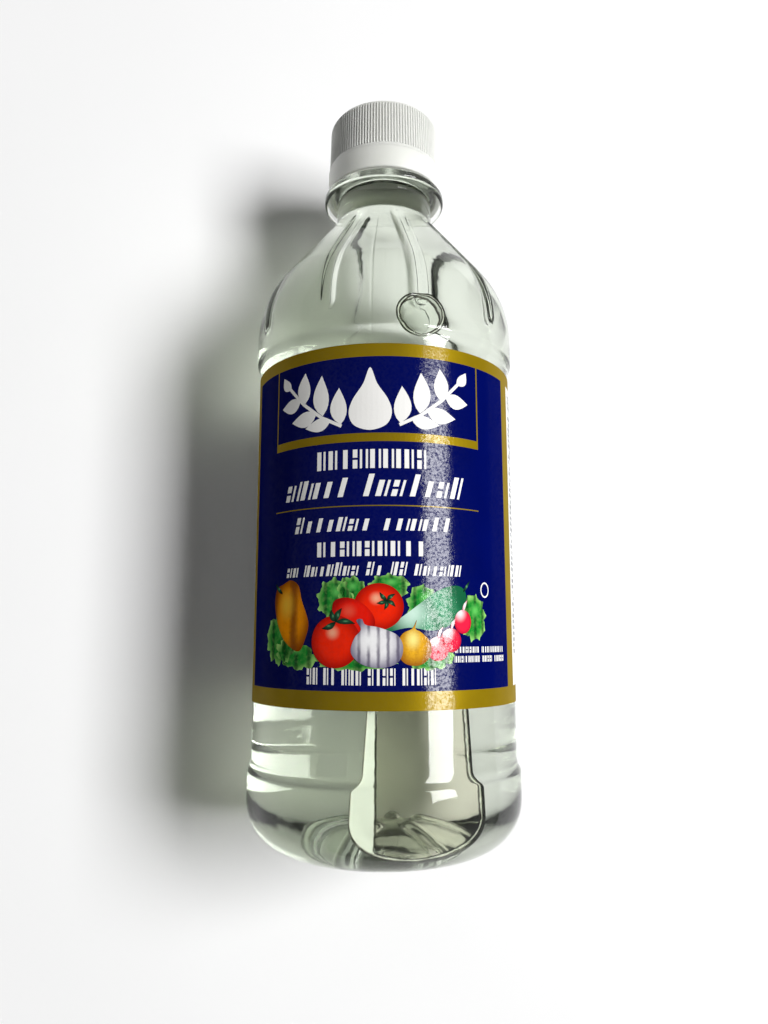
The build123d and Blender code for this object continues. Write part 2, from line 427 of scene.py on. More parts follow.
@dataclass(frozen=True)
class ClearFinish:
    """A clear body that bends light: its name, tint and the waviness of its skin in millimetres.

    The shade is the part of the lamp's light that goes straight through each of its surfaces,
    and the gloss tint is how strong its mirror is.
    """

    name: str
    tint: str
    ior: float
    roughness: float
    shade: str
    ripple: float
    ripple_depth: float
    gloss_tint: str = "#a2a2a2"
    # Painted shade lines, a painted highlight band and painted warm shade at the edges of air pockets, if
    # any.
    meniscus_painted_light: MeniscusPaintedLight | None = None

    def material(self) -> bpy.types.Material:
        """Makes the material; each of its surfaces lets part of the lamp light straight through."""
        material, tree, place = new_material(self.name)
        tint, passing = linear(self.tint), 1.0
        # The painted light at the pocket edges replaces the plain tint and lets less light through in the
        # highlight band.
        if self.meniscus_painted_light:
            tint, passing = self.meniscus_painted_light.show(tree, place, self.tint)
        sockets = {
            "Base Color": tint,
            "Roughness": self.roughness,
            "IOR": self.ior,
            "Transmission Weight": passing,
            "Specular Tint": linear(self.gloss_tint),
            "Normal": uneven_normal(tree, place, self.ripple, self.ripple_depth, 0.4),
        }
        clear = add_node(tree, SKIN, sockets)
        through = add_node(tree, "ShaderNodeBsdfTransparent", {"Color": linear(self.shade)})
        path = add_node(tree, "ShaderNodeLightPath")
        mixed = add_node(tree, "ShaderNodeMixShader", [path.outputs["Is Shadow Ray"], clear, through])
        add_node(tree, "ShaderNodeOutputMaterial", {"Surface": mixed})
        return material


@dataclass(frozen=True)
class Varnish:
    """The thin varnish on the label, which the grain of calendered paper breaks up into specks.

    The paper's grain is about 0.2 mm wide; its specks are drawn 0.6 mm wide, the finest that
    shows.
    """

    weight: float = 0.95
    grazing_weight: float = 0.05
    ior: float = 1.42
    roughness: float = 0.1
    grain: float = 0.45
    grain_depth: float = 0.022
    speck: float = 0.6
    turned_away: Point = (0.1, 0.36)
    speck_range: Point = (0.4, 0.56)
    between_specks: float = 0.12

    def uneven(self, tree: Tree, place: Socket) -> Node:
        """Gives the paper's uneven normal."""
        return uneven_normal(tree, place, self.grain, self.grain_depth, 0.6)

    def sockets(self, tree: Tree, place: Socket) -> dict:
        """Gives what a surface's coat sockets take.

        Args:
            tree: the material's tree.
            place: the coordinates.

        Returns:
            The sockets by name. The varnish is weaker where it is turned away from the eye.
        """
        facing = add_node(tree, "ShaderNodeLayerWeight", {"Blend": 0.5}).outputs["Facing"]
        weights = (self.weight, self.grazing_weight)
        weight = add_node(tree, RANGE, [facing, *self.turned_away, *weights], **SOFT)
        cell = {"Vector": place, "Scale": per_metre(self.speck), "Detail": 3.0, "Roughness": 0.75}
        speck = add_node(tree, RANGE, [add_node(tree, NOISE, cell), *self.speck_range, self.between_specks])
        return {
            "Coat Weight": add_node(tree, MATH, [weight, speck], operation="MULTIPLY"),
            "Coat IOR": self.ior,
            "Coat Roughness": self.roughness,
            "Coat Normal": self.uneven(tree, place),
        }


@dataclass(frozen=True)
class SheetFinish:
    """Coated paper or an ink on it: a colour that drifts slightly under a clear varnish."""

    name: str
    colour: str
    drift: str
    metallic: float = 0.0
    roughness: float = 0.5
    coat: float = 0.95
    drift_size: float = 9.0

    def material(self) -> bpy.types.Material:
        """Makes the material; the fine grain breaks up the gloss as calendered paper does."""
        material, tree, place = new_material(self.name)
        coat = Varnish(self.coat, Varnish.grazing_weight * self.coat)
        sockets = {
            "Base Color": drifting_colour(tree, place, (self.colour, self.drift), self.drift_size, 3.0),
            "Metallic": self.metallic,
            "Roughness": self.roughness,
            "Specular IOR Level": 0.0,
            "Normal": coat.uneven(tree, place),
        }
        skin = add_node(tree, SKIN, sockets | coat.sockets(tree, place))
        add_node(tree, "ShaderNodeOutputMaterial", {"Surface": skin})
        return material


@dataclass(frozen=True)
class PictureFinish:
    """A printed vegetable: a colour that darkens to its rim, with streaks and one highlight."""

    name: str
    colour: str
    rim: str
    glint: str
    glint_at: Point = (-0.2, 0.35)
    glint_size: float = 0.5
    rim_start: float = 0.35
    streaks: float = 0.0
    streak_count: float = 6.0
    streak_colour: str = "#000000"
    mottle: float = 0.15
    mottle_size: float = 1.2

    def material(self) -> bpy.types.Material:
        """Makes the material from the shape's own coordinates, which run from -1 to 1."""
        material, tree, place = new_material(self.name)
        uv = add_node(tree, "ShaderNodeUVMap", uv_map="shape")
        reach = add_node(tree, "ShaderNodeVectorMath", [uv], operation="LENGTH")
        edge = add_node(tree, RANGE, [reach, self.rim_start, 1.15], **SOFT)
        cell = {"Vector": place, "Scale": per_metre(self.mottle_size), "Detail": 3.0}
        noise = add_node(tree, NOISE, cell)
        split = add_node(tree, "ShaderNodeSeparateXYZ", [uv])
        across = add_node(tree, MATH, [split, self.streak_count], operation="MULTIPLY")
        bent = add_node(tree, MATH, [across, noise], operation="ADD")
        wave = add_node(tree, MATH, [bent], operation="SINE")
        streak = add_node(tree, RANGE, [wave, 0.1, 1.0, 0.0, self.streaks])
        speck = add_node(tree, RANGE, [noise, 0.45, 0.75, 0.0, self.mottle])
        off = add_node(tree, "ShaderNodeVectorMath", [uv, (*self.glint_at, 0.0)], operation="DISTANCE")
        spot = add_node(tree, RANGE, [off, self.glint_size, 0.0], **SOFT)
        colour = linear(self.colour)
        layers = ((edge, self.rim), (streak, self.streak_colour), (speck, self.rim), (spot, self.glint))
        for share, toward in layers:
            colour = add_node(tree, MIX, [share, colour, linear(toward)], data_type="RGBA")
        sockets = {"Base Color": colour, "Roughness": 0.4, "Specular IOR Level": 0.0}
        skin = add_node(tree, SKIN, sockets | Varnish().sockets(tree, place))
        add_node(tree, "ShaderNodeOutputMaterial", {"Surface": skin})
        return material


@dataclass(frozen=True)
class MouldedFinish:
    """Injection-moulded white polypropylene: satin, faintly see-through at thin edges."""

    name: str = "moulded_polypropylene"
    colour: str = "#eff0ea"
    drift: str = "#e6e8e0"
    roughness: float = 0.38
    ior: float = 1.49
    texture: float = 0.35
    texture_depth: float = 0.006
    drift_size: float = 6.0
    glow: float = 0.6
    glow_depth: float = 2.0

    def material(self) -> bpy.types.Material:
        """Makes the material; light spreads below the skin and softens the ribs."""
        material, tree, place = new_material(self.name)
        sockets = {
            "Base Color": drifting_colour(tree, place, (self.colour, self.drift), self.drift_size),
            "Roughness": self.roughness,
            "IOR": self.ior,
            "Subsurface Weight": self.glow,
            "Subsurface Radius": (1.0, 1.0, 1.0),
            "Subsurface Scale": self.glow_depth * MM,
            "Normal": uneven_normal(tree, place, self.texture, self.texture_depth),
        }
        skin = add_node(tree, SKIN, sockets)
        add_node(tree, "ShaderNodeOutputMaterial", {"Surface": skin})
        return material


# ---- Form of the blown body --------------------------------------------------------------


@dataclass(frozen=True)
class Seat:
    """Where the bottle's axis lies in the frame."""

    foot: float
    axis: float

    @classmethod
    def from_frame(cls) -> "Seat":
        """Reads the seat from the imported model."""
        low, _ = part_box("bottle")
        cap_low, cap_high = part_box("cap")
        return cls(low.y / MM, (cap_low.z + cap_high.z) / 2 / MM)

    def place(self, radius: np.ndarray, angle: np.ndarray, height: np.ndarray) -> np.ndarray:
        """Turns distances from the axis, angles and heights into points.

        Args:
            radius: distances from the axis.
            angle: angles about it in degrees.
            height: heights along it.

        Returns:
            The points, in an array with a last side of 3.
        """
        turn = np.radians(angle)
        radius, turn, height = np.broadcast_arrays(radius, turn, height)
        side = radius * np.sin(turn)
        return np.stack([side, height + self.foot, radius * np.cos(turn) + self.axis], axis=-1)


@dataclass(frozen=True)
class Station:
    """A row of the skin: its distance from the axis, its height, the inward direction, how far it
    lies beyond the ends of a shoulder flute and of a base groove, and whether it is on the side."""

    radius: float
    height: float
    press: Point = (-1.0, 0.0)
    flute_reach: float = FAR
    rib_reach: float = FAR
    on_side: bool = False


@dataclass(frozen=True)
class Groove:
    """A round groove pressed into the skin, repeated about the axis from a first angle."""

    count: int
    first: float
    radius: float
    depth: float
    soft: float


@dataclass(frozen=True)
class BodyForm:
    """Named sizes of the blown body, mostly as in its construction, and the lines they give.

    The heel is rounder and the steps are softer than there, because the drink shows them so. A
    panel step is the height that the construction gives to each step.
    """

    wall: float = 0.6
    ring: float = 33.7
    recess: float = 0.95
    panel_length: float = 98.2
    panel_step: float = 2.19
    step: float = 1.5
    step_foot: float = 5.0
    heel: float = 12.0
    heel_band: float = 6.0
    shoulder_band: float = 6.2
    shoulder: float = 26.2
    cone_angle: float = 38.7
    push_up: float = 7.0
    bead: float = 2.5
    neck: float = 13.0
    neck_wall: float = 2.1
    neck_fillet: float = 3.0
    neck_length: float = 5.3
    rib_inner: float = 7.0
    rib_margin: float = 1.0
    flute_margin: float = 2.6
    flutes: Groove = Groove(10, -1.0, 2.25, 0.9, 0.45)
    ribs: Groove = Groove(5, 25.0, 2.2, 1.4, 0.5)
    seam: float = -19.0

    @property
    def cone(self) -> float:
        """The cone's angle in radians."""
        return math.radians(self.cone_angle)

    @property
    def panel(self) -> float:
        """Radius of the label panel."""
        return self.ring - self.recess

    @property
    def stand(self) -> float:
        """Radius of the standing edge."""
        return self.ring - self.heel

    @property
    def dome(self) -> float:
        """Radius of the domed base."""
        return (self.stand**2 + self.push_up**2) / (2 * self.push_up) - self.bead

    @property
    def step_bend(self) -> float:
        """Turn of each of the two bends in a step, in degrees."""
        return math.degrees(math.acos(1 - self.recess / (self.step + self.step_foot)))

    @property
    def step_length(self) -> float:
        """Height taken by a step."""
        return (self.step + self.step_foot) * math.sin(math.radians(self.step_bend))

    @property
    def heel_top(self) -> float:
        """Height of the heel ring's upper end."""
        return self.heel + self.heel_band

    @property
    def panel_start(self) -> float:
        """Height at which the label panel begins."""
        return self.heel_top + self.step_length

    @property
    def panel_end(self) -> float:
        """Height at which the label panel ends."""
        return self.ring_start - self.step_length

    @property
    def ring_start(self) -> float:
        """Height at which the shoulder ring begins."""
        return self.heel_top + 2 * self.panel_step + self.panel_length

    @property
    def shoulder_start(self) -> float:
        """Height at which the shoulder's rounding begins."""
        return self.ring_start + self.shoulder_band

    def neck_start(self, inset: float, neck: float) -> float:
        """Height at which the straight neck begins on a skin that lies inset inside."""
        reach = self.neck_fillet + inset
        radius = self.ring - self.shoulder + (self.shoulder - inset) * math.cos(self.cone)
        height = self.shoulder_start + (self.shoulder - inset) * math.sin(self.cone)
        fillet = neck + reach * (1 - math.cos(self.cone))
        return height + (radius - fillet) / math.tan(self.cone) + reach * math.sin(self.cone)

    @property
    def support_base(self) -> float:
        """Height of the support ring's underside."""
        return self.neck_start(0, self.neck) + self.neck_length

    def stations(self, inset: float, neck: float, top: float) -> list[Station]:
        """Runs from the middle of the base up the body to the neck.

        Args:
            inset: how far the skin lies inside the outer one.
            neck: radius of the skin at the neck.
            top: height at which it ends.

        Returns:
            The rows of the skin, without the one at the very middle of the base.
        """
        line: list[tuple[float, float, float, float]] = []

        def arc(centre: Point, radius: float, start: float, turn: float, count: int, side: int) -> None:
            """Adds an arc; the side is 1 where the wall bulges outwards and -1 where it is hollow."""
            for i in range(count + 1):
                a = math.radians(start + turn * i / count)
                x, y = math.cos(a), math.sin(a)
                line.append((centre[0] + radius * x, centre[1] + radius * y, -side * x, -side * y))

        def straight(end: Point, count: int) -> None:
            """Adds a straight stretch that keeps the inward direction."""
            x, y, *inward = line[-1]
            for i in range(1, count + 1):
                t = i / count
                line.append((x + (end[0] - x) * t, y + (end[1] - y) * t, *inward))

        bend = self.step_bend
        dome_centre = self.push_up - self.dome
        edge = math.degrees(math.atan2(self.bead - dome_centre, self.stand))
        arc((0.0, dome_centre), self.dome + inset, 89.0, edge - 89.0, 20, -1)
        arc((self.stand, self.bead), self.bead - inset, 180 + edge, 90 - edge, 7, 1)
        side_start = len(line) - 1
        arc((self.stand, self.heel), self.heel - inset, 270, 90, 18, 1)
        rib_end = len(line) - 2
        straight((self.ring - inset, self.heel_top), 2)
        arc((self.ring - self.step, self.heel_top), self.step - inset, 0, bend, 4, 1)
        foot, foot_radius = self.panel + self.step_foot, self.step_foot + inset
        arc((foot, self.panel_start), foot_radius, 180 + bend, -bend, 6, -1)
        straight((self.panel - inset, self.panel_end), 3)
        arc((foot, self.panel_end), foot_radius, 180, -bend, 6, -1)
        flute_start = len(line) - 4
        arc((self.ring - self.step, self.ring_start), self.step - inset, -bend, bend, 4, 1)
        straight((self.ring - inset, self.shoulder_start), 6)
        flute_low = len(line)
        centre = (self.ring - self.shoulder, self.shoulder_start)
        arc(centre, self.shoulder - inset, 0, self.cone_angle, 20, 1)
        flute_turn = len(line) - 1
        fillet = self.neck_fillet + inset
        start = self.neck_start(inset, neck)
        straight((neck + fillet * (1 - math.cos(self.cone)), start - fillet * math.sin(self.cone)), 17)
        arc((neck + fillet, start), fillet, 180 + self.cone_angle, -self.cone_angle, 7, -1)
        straight((neck, top), 3)
        kept = [0]
        for i in range(1, len(line)):
            if math.dist(line[i][:2], line[kept[-1]][:2]) > 1e-4:
                kept.append(i)
        lengths = [0.0]
        for i in range(1, len(line)):
            lengths.append(lengths[-1] + math.dist(line[i][:2], line[i - 1][:2]))
        bend_end = self.ring - self.shoulder * (1 - math.cos(self.cone))
        run = (bend_end - self.neck - self.flute_margin) / math.sin(self.cone)
        rows = []
        for i in kept:
            radius, height, press_out, press_up = line[i]
            below = lengths[flute_low] - lengths[i]
            above = lengths[i] - lengths[flute_turn] - run
            rib = max(self.rib_inner - radius, radius - self.stand + self.rib_margin, 0.0)
            flute = max(below, above, 0.0) if i >= flute_start else FAR
            rib = rib if i < rib_end else FAR
            on_side = height > self.bead and i >= side_start
            rows.append(Station(radius, height, (press_out, press_up), flute, rib, on_side))
        return rows

    def flute_depth(self, across: float, height: float) -> float:
        """How far a flute's lower end presses the wall in, at a place on the shoulder ring."""
        below = max(self.shoulder_start - height, 0.0)
        room = self.flutes.radius**2 - across**2 - below**2
        return max(math.sqrt(max(room, 0.0)) - self.flutes.radius + self.flutes.depth, 0.0)


def groove_tree() -> Tree:
    """Builds the rule that presses a ring of round grooves into a skin of revolution.

    Returns:
        The tree. A groove is deepest on its middle line and ends where the reach attribute,
        the distance beyond its end, grows to its radius.
    """
    sizes = ("Count", "First Angle", "Groove Radius", "Groove Depth", "Softness", "Axis Height")
    tree, value = new_tree("pressed_grooves", sizes, words=("Reach",))
    parts = add_node(tree, "ShaderNodeSeparateXYZ", [add_node(tree, "GeometryNodeInputPosition")])
    rise = add_node(tree, MATH, [parts.outputs[2], value["Axis Height"]], operation="SUBTRACT")
    turn = add_node(tree, MATH, [parts, rise], operation="ARCTAN2")
    side_square = add_node(tree, MATH, [parts, 2.0], operation="POWER")
    rise_square = add_node(tree, MATH, [rise, 2.0], operation="POWER")
    square = add_node(tree, MATH, [side_square, rise_square], operation="ADD")
    distance = add_node(tree, MATH, [square], operation="SQRT")
    # The angle to the nearest groove, and from that the distance across to its middle line.
    half = add_node(tree, MATH, [math.pi, value["Count"]], operation="DIVIDE")
    back = add_node(tree, MATH, [half, -1.0], operation="MULTIPLY")
    off = add_node(tree, MATH, [turn, value["First Angle"]], operation="SUBTRACT")
    near = add_node(tree, MATH, [off, half, back], operation="WRAP")
    share = add_node(tree, MATH, [near], operation="SINE")
    across = add_node(tree, MATH, [distance, share], operation="MULTIPLY")
    # What is left of the groove's round section there.
    reach = add_node(tree, "GeometryNodeInputNamedAttribute", [value["Reach"]], data_type="FLOAT")
    room = add_node(tree, MATH, [value["Groove Radius"], 2.0], operation="POWER")
    for away in (across, reach):
        square = add_node(tree, MATH, [away, 2.0], operation="POWER")
        room = add_node(tree, MATH, [room, square], operation="SUBTRACT")
    chord = add_node(tree, MATH, [add_node(tree, MATH, [room, 0.0], operation="MAXIMUM")], operation="SQRT")
    stand_off = add_node(tree, MATH, [value["Groove Radius"], value["Groove Depth"]], operation="SUBTRACT")
    deep = add_node(tree, MATH, [chord, stand_off], operation="SUBTRACT")
    depth = add_node(tree, MATH, [deep, 0.0, value["Softness"]], operation="SMOOTH_MAX")
    press = add_node(tree, "GeometryNodeInputNamedAttribute", {"Name": "press"}, data_type="FLOAT_VECTOR")
    move = add_node(tree, "ShaderNodeVectorMath", [press, depth], operation="SCALE")
    pressed = add_node(tree, "GeometryNodeSetPosition", {"Geometry": value["Geometry"], "Offset": move})
    end_tree(tree, pressed, value["Material"])
    return tree


def round_axis_tree() -> Tree:
    """Builds the rule that repeats a shape about the bottle's axis.

    Returns:
        The tree. Its geometry is one shape, drawn with the axis at Z = 0.
    """
    tree, value = new_tree("round_axis", ("First Angle", "Axis Height"), ("Count",))
    middle = add_node(tree, "ShaderNodeCombineXYZ", {2: value["Axis Height"]})
    spots = {"Count": value["Count"], "Start Location": middle, "Offset": (0.0, 0.0, 0.0)}
    line = add_node(tree, "GeometryNodeMeshLine", spots)
    pitch = add_node(tree, MATH, [math.tau, value["Count"]], operation="DIVIDE")
    index = add_node(tree, "GeometryNodeInputIndex")
    turn = add_node(tree, MATH, [index, pitch, value["First Angle"]], operation="MULTIPLY_ADD")
    spin = add_node(tree, "ShaderNodeCombineXYZ", {1: turn})
    shapes = {"Points": line, "Instance": value["Geometry"], "Rotation": spin}
    end_tree(tree, add_node(tree, "GeometryNodeInstanceOnPoints", shapes), value["Material"])
    return tree


def fine_print_tree() -> Tree:
    """Builds the rule that fills a field of the label with small bars in lines.

    Returns:
        The tree. Bars of random length stand in a grid with gaps, wrapped round the sleeve.
    """
    sizes = ("Field Width", "Field Height", "Bar Width", "Bar Height", "Bar Thickness")
    places = ("Radius", "Angle", "Place", "Axis Height", "Gaps")
    tree, value = new_tree("fine_print", sizes + places, ("Columns", "Lines", "Seed"))
    names = ("Field Width", "Field Height", "Columns", "Lines")
    grid = add_node(tree, "GeometryNodeMeshGrid", [value[name] for name in names])
    odds = {"Probability": value["Gaps"], "Seed": value["Seed"]}
    chance = add_node(tree, "FunctionNodeRandomValue", odds, data_type="BOOLEAN")
    gone = {"Geometry": grid, "Selection": chance}
    left = add_node(tree, "GeometryNodeDeleteGeometry", gone, domain="POINT")
    # The flat grid is wrapped round the sleeve.
    parts = add_node(tree, "ShaderNodeSeparateXYZ", [add_node(tree, "GeometryNodeInputPosition")])
    share = add_node(tree, MATH, [parts, value["Radius"]], operation="DIVIDE")
    turn = add_node(tree, MATH, [share, value["Angle"]], operation="ADD")
    sine = add_node(tree, MATH, [turn], operation="SINE")
    cosine = add_node(tree, MATH, [turn], operation="COSINE")
    side = add_node(tree, MATH, [sine, value["Radius"]], operation="MULTIPLY")
    rise = add_node(tree, MATH, [cosine, value["Radius"], value["Axis Height"]], operation="MULTIPLY_ADD")
    along = add_node(tree, MATH, [parts.outputs[1], value["Place"]], operation="ADD")
    spot = add_node(tree, "ShaderNodeCombineXYZ", [side, along, rise])
    wrapped = add_node(tree, "GeometryNodeSetPosition", {"Geometry": left, "Position": spot})
    # Each bar faces outwards where it now stands.
    size = add_node(tree, "ShaderNodeCombineXYZ", [value[name] for name in sizes[2:]])
    above = add_node(tree, MATH, [parts.outputs[2], value["Axis Height"]], operation="SUBTRACT")
    facing = add_node(tree, MATH, [parts, above], operation="ARCTAN2")
    spin = add_node(tree, "ShaderNodeCombineXYZ", {1: facing})
    lengths = {0: (0.45, 0.8, 1.0), 1: (1.0, 1.0, 1.0), "Seed": value["Seed"]}
    stretch = add_node(tree, "FunctionNodeRandomValue", lengths, data_type="FLOAT_VECTOR")
    bar = add_node(tree, "GeometryNodeMeshCube", {"Size": size})
    shapes = {"Points": wrapped, "Instance": bar, "Rotation": spin, "Scale": stretch}
    end_tree(tree, add_node(tree, "GeometryNodeInstanceOnPoints", shapes), value["Material"])
    return tree


# ---- Clear bottle ------------------------------------------------------------------------


@dataclass
class BottleShell:
    """The blown bottle as one closed wall: body, neck, support ring and finish."""

    seat: Seat
    form: BodyForm
    columns: int = 360
    support_lip: float = 3.5
    support_thickness: float = 2.4
    support_edge: float = 0.9
    finish_wall: float = 1.5
    finish_height: float = 18.7
    seam_width: float = 0.2
    seam_height: float = 0.05
    knurl_depth: float = 0.12
    knurl_ring: Point = (17.4, 21.6)
    knurl_top: float = 3.0
    seam_inside: float = 12.0

    def rim_rows(self) -> list[Station]:
        """Gives the rows of the support ring and of the threaded end above it."""
        form = self.form
        rim = form.neck + self.support_lip
        base = form.support_base
        top = base + self.support_thickness
        finish = form.neck - form.neck_wall + self.finish_wall
        corner = rim - self.support_edge
        line = [(form.neck + 0.6, base + 0.02), (corner, base)]
        for centre, start in ((base + self.support_edge, -90), (top - self.support_edge, 0)):
            line += arc_points((corner, centre), self.support_edge, start, 90, 5)
        line += [(finish + 0.3, top), (finish, top + 0.3), (finish, top + 9)]
        line += [(finish, top + self.finish_height - 0.4), (finish - 0.4, top + self.finish_height)]
        return [Station(radius, height) for radius, height in line]

    def build(self, tree: Tree, material: bpy.types.Material) -> bpy.types.Object:
        """Makes the shell.

        Args:
            tree: the rule that presses the grooves.
            material: the clear plastic.

        Returns:
            The finished piece.
        """
        form = self.form
        bore = form.neck - form.neck_wall
        finish_top = form.support_base + self.support_thickness + self.finish_height
        outer = form.stations(0.0, form.neck, form.support_base)
        rim = self.rim_rows()
        inner = form.stations(form.wall, bore, finish_top - 0.4)
        inner.append(Station(bore + 0.4, finish_top))
        rows = outer + rim + inner[::-1]
        step = 360 / self.columns
        plain = np.arange(self.columns) * step
        seams = (form.seam % 360, (form.seam + 180) % 360)
        points, press, flutes, ribs = [], [], [], []
        for i, row in enumerate(rows):
            width = min(math.degrees(self.seam_width / max(row.radius, 1.0)), 0.8 * step)
            extra = np.array([seam + side * width for seam in seams for side in (-1, 1)])
            angle = np.concatenate([plain, extra])
            beside = [seam + side * 0.5 * step for seam in seams for side in (-1, 1)]
            order = np.argsort(np.concatenate([plain, beside]))
            lift = np.zeros(len(angle))
            on_outside = i < len(outer) + len(rim)
            on_knurl = self.knurl_ring[0] < row.radius < self.knurl_ring[1] and row.height < self.knurl_top
            if on_outside and row.radius > self.seam_inside:
                for seam in seams:
                    lift[int(round(seam / step)) % self.columns] = self.seam_height
            if on_outside and on_knurl:
                lift[: self.columns : 2] -= self.knurl_depth
            angle, lift = angle[order], lift[order]
            out = (-row.press[0], -row.press[1])
            points.append(self.seat.place(row.radius + lift * out[0], angle, row.height + lift * out[1]))
            press.append(inward(row, angle))
            flutes += [row.flute_reach] * len(angle)
            ribs += [row.rib_reach] * len(angle)
        columns = len(points[0])
        dome = form.push_up
        poles = self.seat.place(np.zeros(2), np.zeros(2), np.array([dome, dome + form.wall]))
        points = np.concatenate([*points, poles])
        press = np.concatenate([*press, np.zeros((2, 3))])
        piece = mesh_piece("clear_bottle", points, band_faces(len(rows), columns), crease=60)
        write_reach(piece, press, np.array(flutes + [FAR, FAR]), np.array(ribs + [FAR, FAR]))
        press_skin(piece, tree, form, self.seat, material, form.wall)
        dress(piece, "clear_plastic", "bottle")
        return piece


def inward(row: Station, angle: np.ndarray) -> np.ndarray:
    """Gives a row's inward direction at each of its angles.

    Args:
        row: the row of the skin.
        angle: the angles about the axis in degrees.

    Returns:
        The directions, in an array with a last side of 3.
    """
    turn = np.radians(angle)
    out, up = row.press
    return np.stack([out * np.sin(turn), np.full(len(turn), up), out * np.cos(turn)], axis=-1)


def write_reach(
    piece: bpy.types.Object, press: np.ndarray, flutes: np.ndarray, ribs: np.ndarray
) -> None:
    """Stores on each point the inward direction and how far it lies beyond the groove ends.

    Args:
        piece: the skin.
        press: inward directions.
        flutes: distances beyond the ends of a shoulder flute, in millimetres.
        ribs: distances beyond the ends of a base groove, in millimetres.
    """
    layer = piece.data.attributes.new("press", "FLOAT_VECTOR", "POINT")
    layer.data.foreach_set("vector", press.astype(np.float32).ravel())
    for name, reach in (("flute_reach", flutes), ("rib_reach", ribs)):
        layer = piece.data.attributes.new(name, "FLOAT", "POINT")
        layer.data.foreach_set("value", (reach * MM).astype(np.float32))


def press_skin(
    piece: bpy.types.Object,
    tree: Tree,
    form: BodyForm,
    seat: Seat,
    material: bpy.types.Material,
    inset: float,
) -> None:
    """Presses the shoulder flutes and base grooves into a skin.

    Args:
        piece: the skin, with its reach attributes.
        tree: the rule.
        form: sizes of the body.
        seat: where the axis lies.
        material: finish of the skin.
        inset: extra radius of a groove on a skin that lies inside the outer one.
    """
    steps = []
    for groove, reach in ((form.flutes, "flute_reach"), (form.ribs, "rib_reach")):
        values = {
            "Count": float(groove.count),
            "First Angle": math.radians(groove.first),
            "Groove Radius": (groove.radius + inset / 2) * MM,
            "Groove Depth": groove.depth * MM,
            "Softness": groove.soft * MM,
            "Axis Height": seat.axis * MM,
            "Reach": reach,
            "Material": material,
        }
        steps.append((tree, values))
    apply_trees(piece, steps)
    for name in ("press", "flute_reach", "rib_reach"):
        piece.data.attributes.remove(piece.data.attributes[name])


# ---- Vinegar -----------------------------------------------------------------------------


@dataclass
class AirCell:
    """A pocket of air under the upper wall, with the drink's surface curling up at its edge.

    A ringed cell carries the painted shade lines and painted highlight band of its edge all round, on its
    roof too.
    """

    seat: Seat
    roof: Callable[[float, float], float]
    half_width: Callable[[float], float]
    heights: np.ndarray
    turn: float
    depth: float
    curl: float
    bank: float = 0.15
    bank_width: float = 3.1
    # Widths of the painted highlight band by the edge; the band is wider on the left side.
    band: float = 0.9
    left_highlight_band: float = 3.1
    ringed: bool = False
    across: int = 40

    def grid(self) -> tuple[np.ndarray, np.ndarray, int, int]:
        """Gives the cell's points in closed rows and its two end points.

        Returns:
            The points; for each its distance from the edge, the width of the painted highlight band there
            (both in millimetres) and 1 where it lies on the long pocket's floor, which gets painted warm
            shade; the number of rows and the points in each.
        """
        spread = np.sin(np.linspace(-1, 1, self.across) * math.pi / 2)
        points, edges = [], []
        inner = self.heights[1:-1]
        usual = self.half_width(inner[len(inner) // 2])
        reach = 0.02  # how far apart the edge is compared to find its slope
        for h in inner:
            width = self.half_width(h)
            slope = (self.half_width(h + reach) - self.half_width(h - reach)) / (2 * reach)
            edge = self.roof(width, h)
            top = [(x * width, h, self.roof(x * width, h)) for x in spread]
            lean = math.hypot(1, slope)
            # The painted highlight band is wider on the pocket's left side, and wider still where the pocket
            # is wide.
            left = max(self.band, (self.left_highlight_band + width - usual) / lean)
            for x in spread:
                on_edge = abs(x) > 0.9999
                away = width * (1 - abs(x)) / lean if self.ringed or on_edge else -1.0
                edges.append((away, left if x < 0 else self.band, 0.0))
            low = []
            for x in spread[-2:0:-1]:
                gap = width * (1 - abs(x)) / lean
                fall = self.depth * (1 - math.exp(-gap / self.curl)) + self.bank * min(gap, self.bank_width)
                low.append((x * width, h, min(edge - fall, self.roof(x * width, h) - 0.02)))
                edges.append((gap, left if x < 0 else self.band, 0.0 if self.ringed else 1.0))
            points += top + low
        for h in (self.heights[0], self.heights[-1]):
            points.append((0.0, h, self.roof(0.0, h)))
            edges.append((0.0, self.band, 0.0))
        flat = np.array(points)
        turn = math.radians(self.turn)
        side = flat[:, 0] * math.cos(turn) + flat[:, 2] * math.sin(turn)
        rise = flat[:, 2] * math.cos(turn) - flat[:, 0] * math.sin(turn)
        placed = np.stack([side, flat[:, 1] + self.seat.foot, rise + self.seat.axis], axis=-1)
        return placed, np.array(edges), len(inner), 2 * self.across - 2


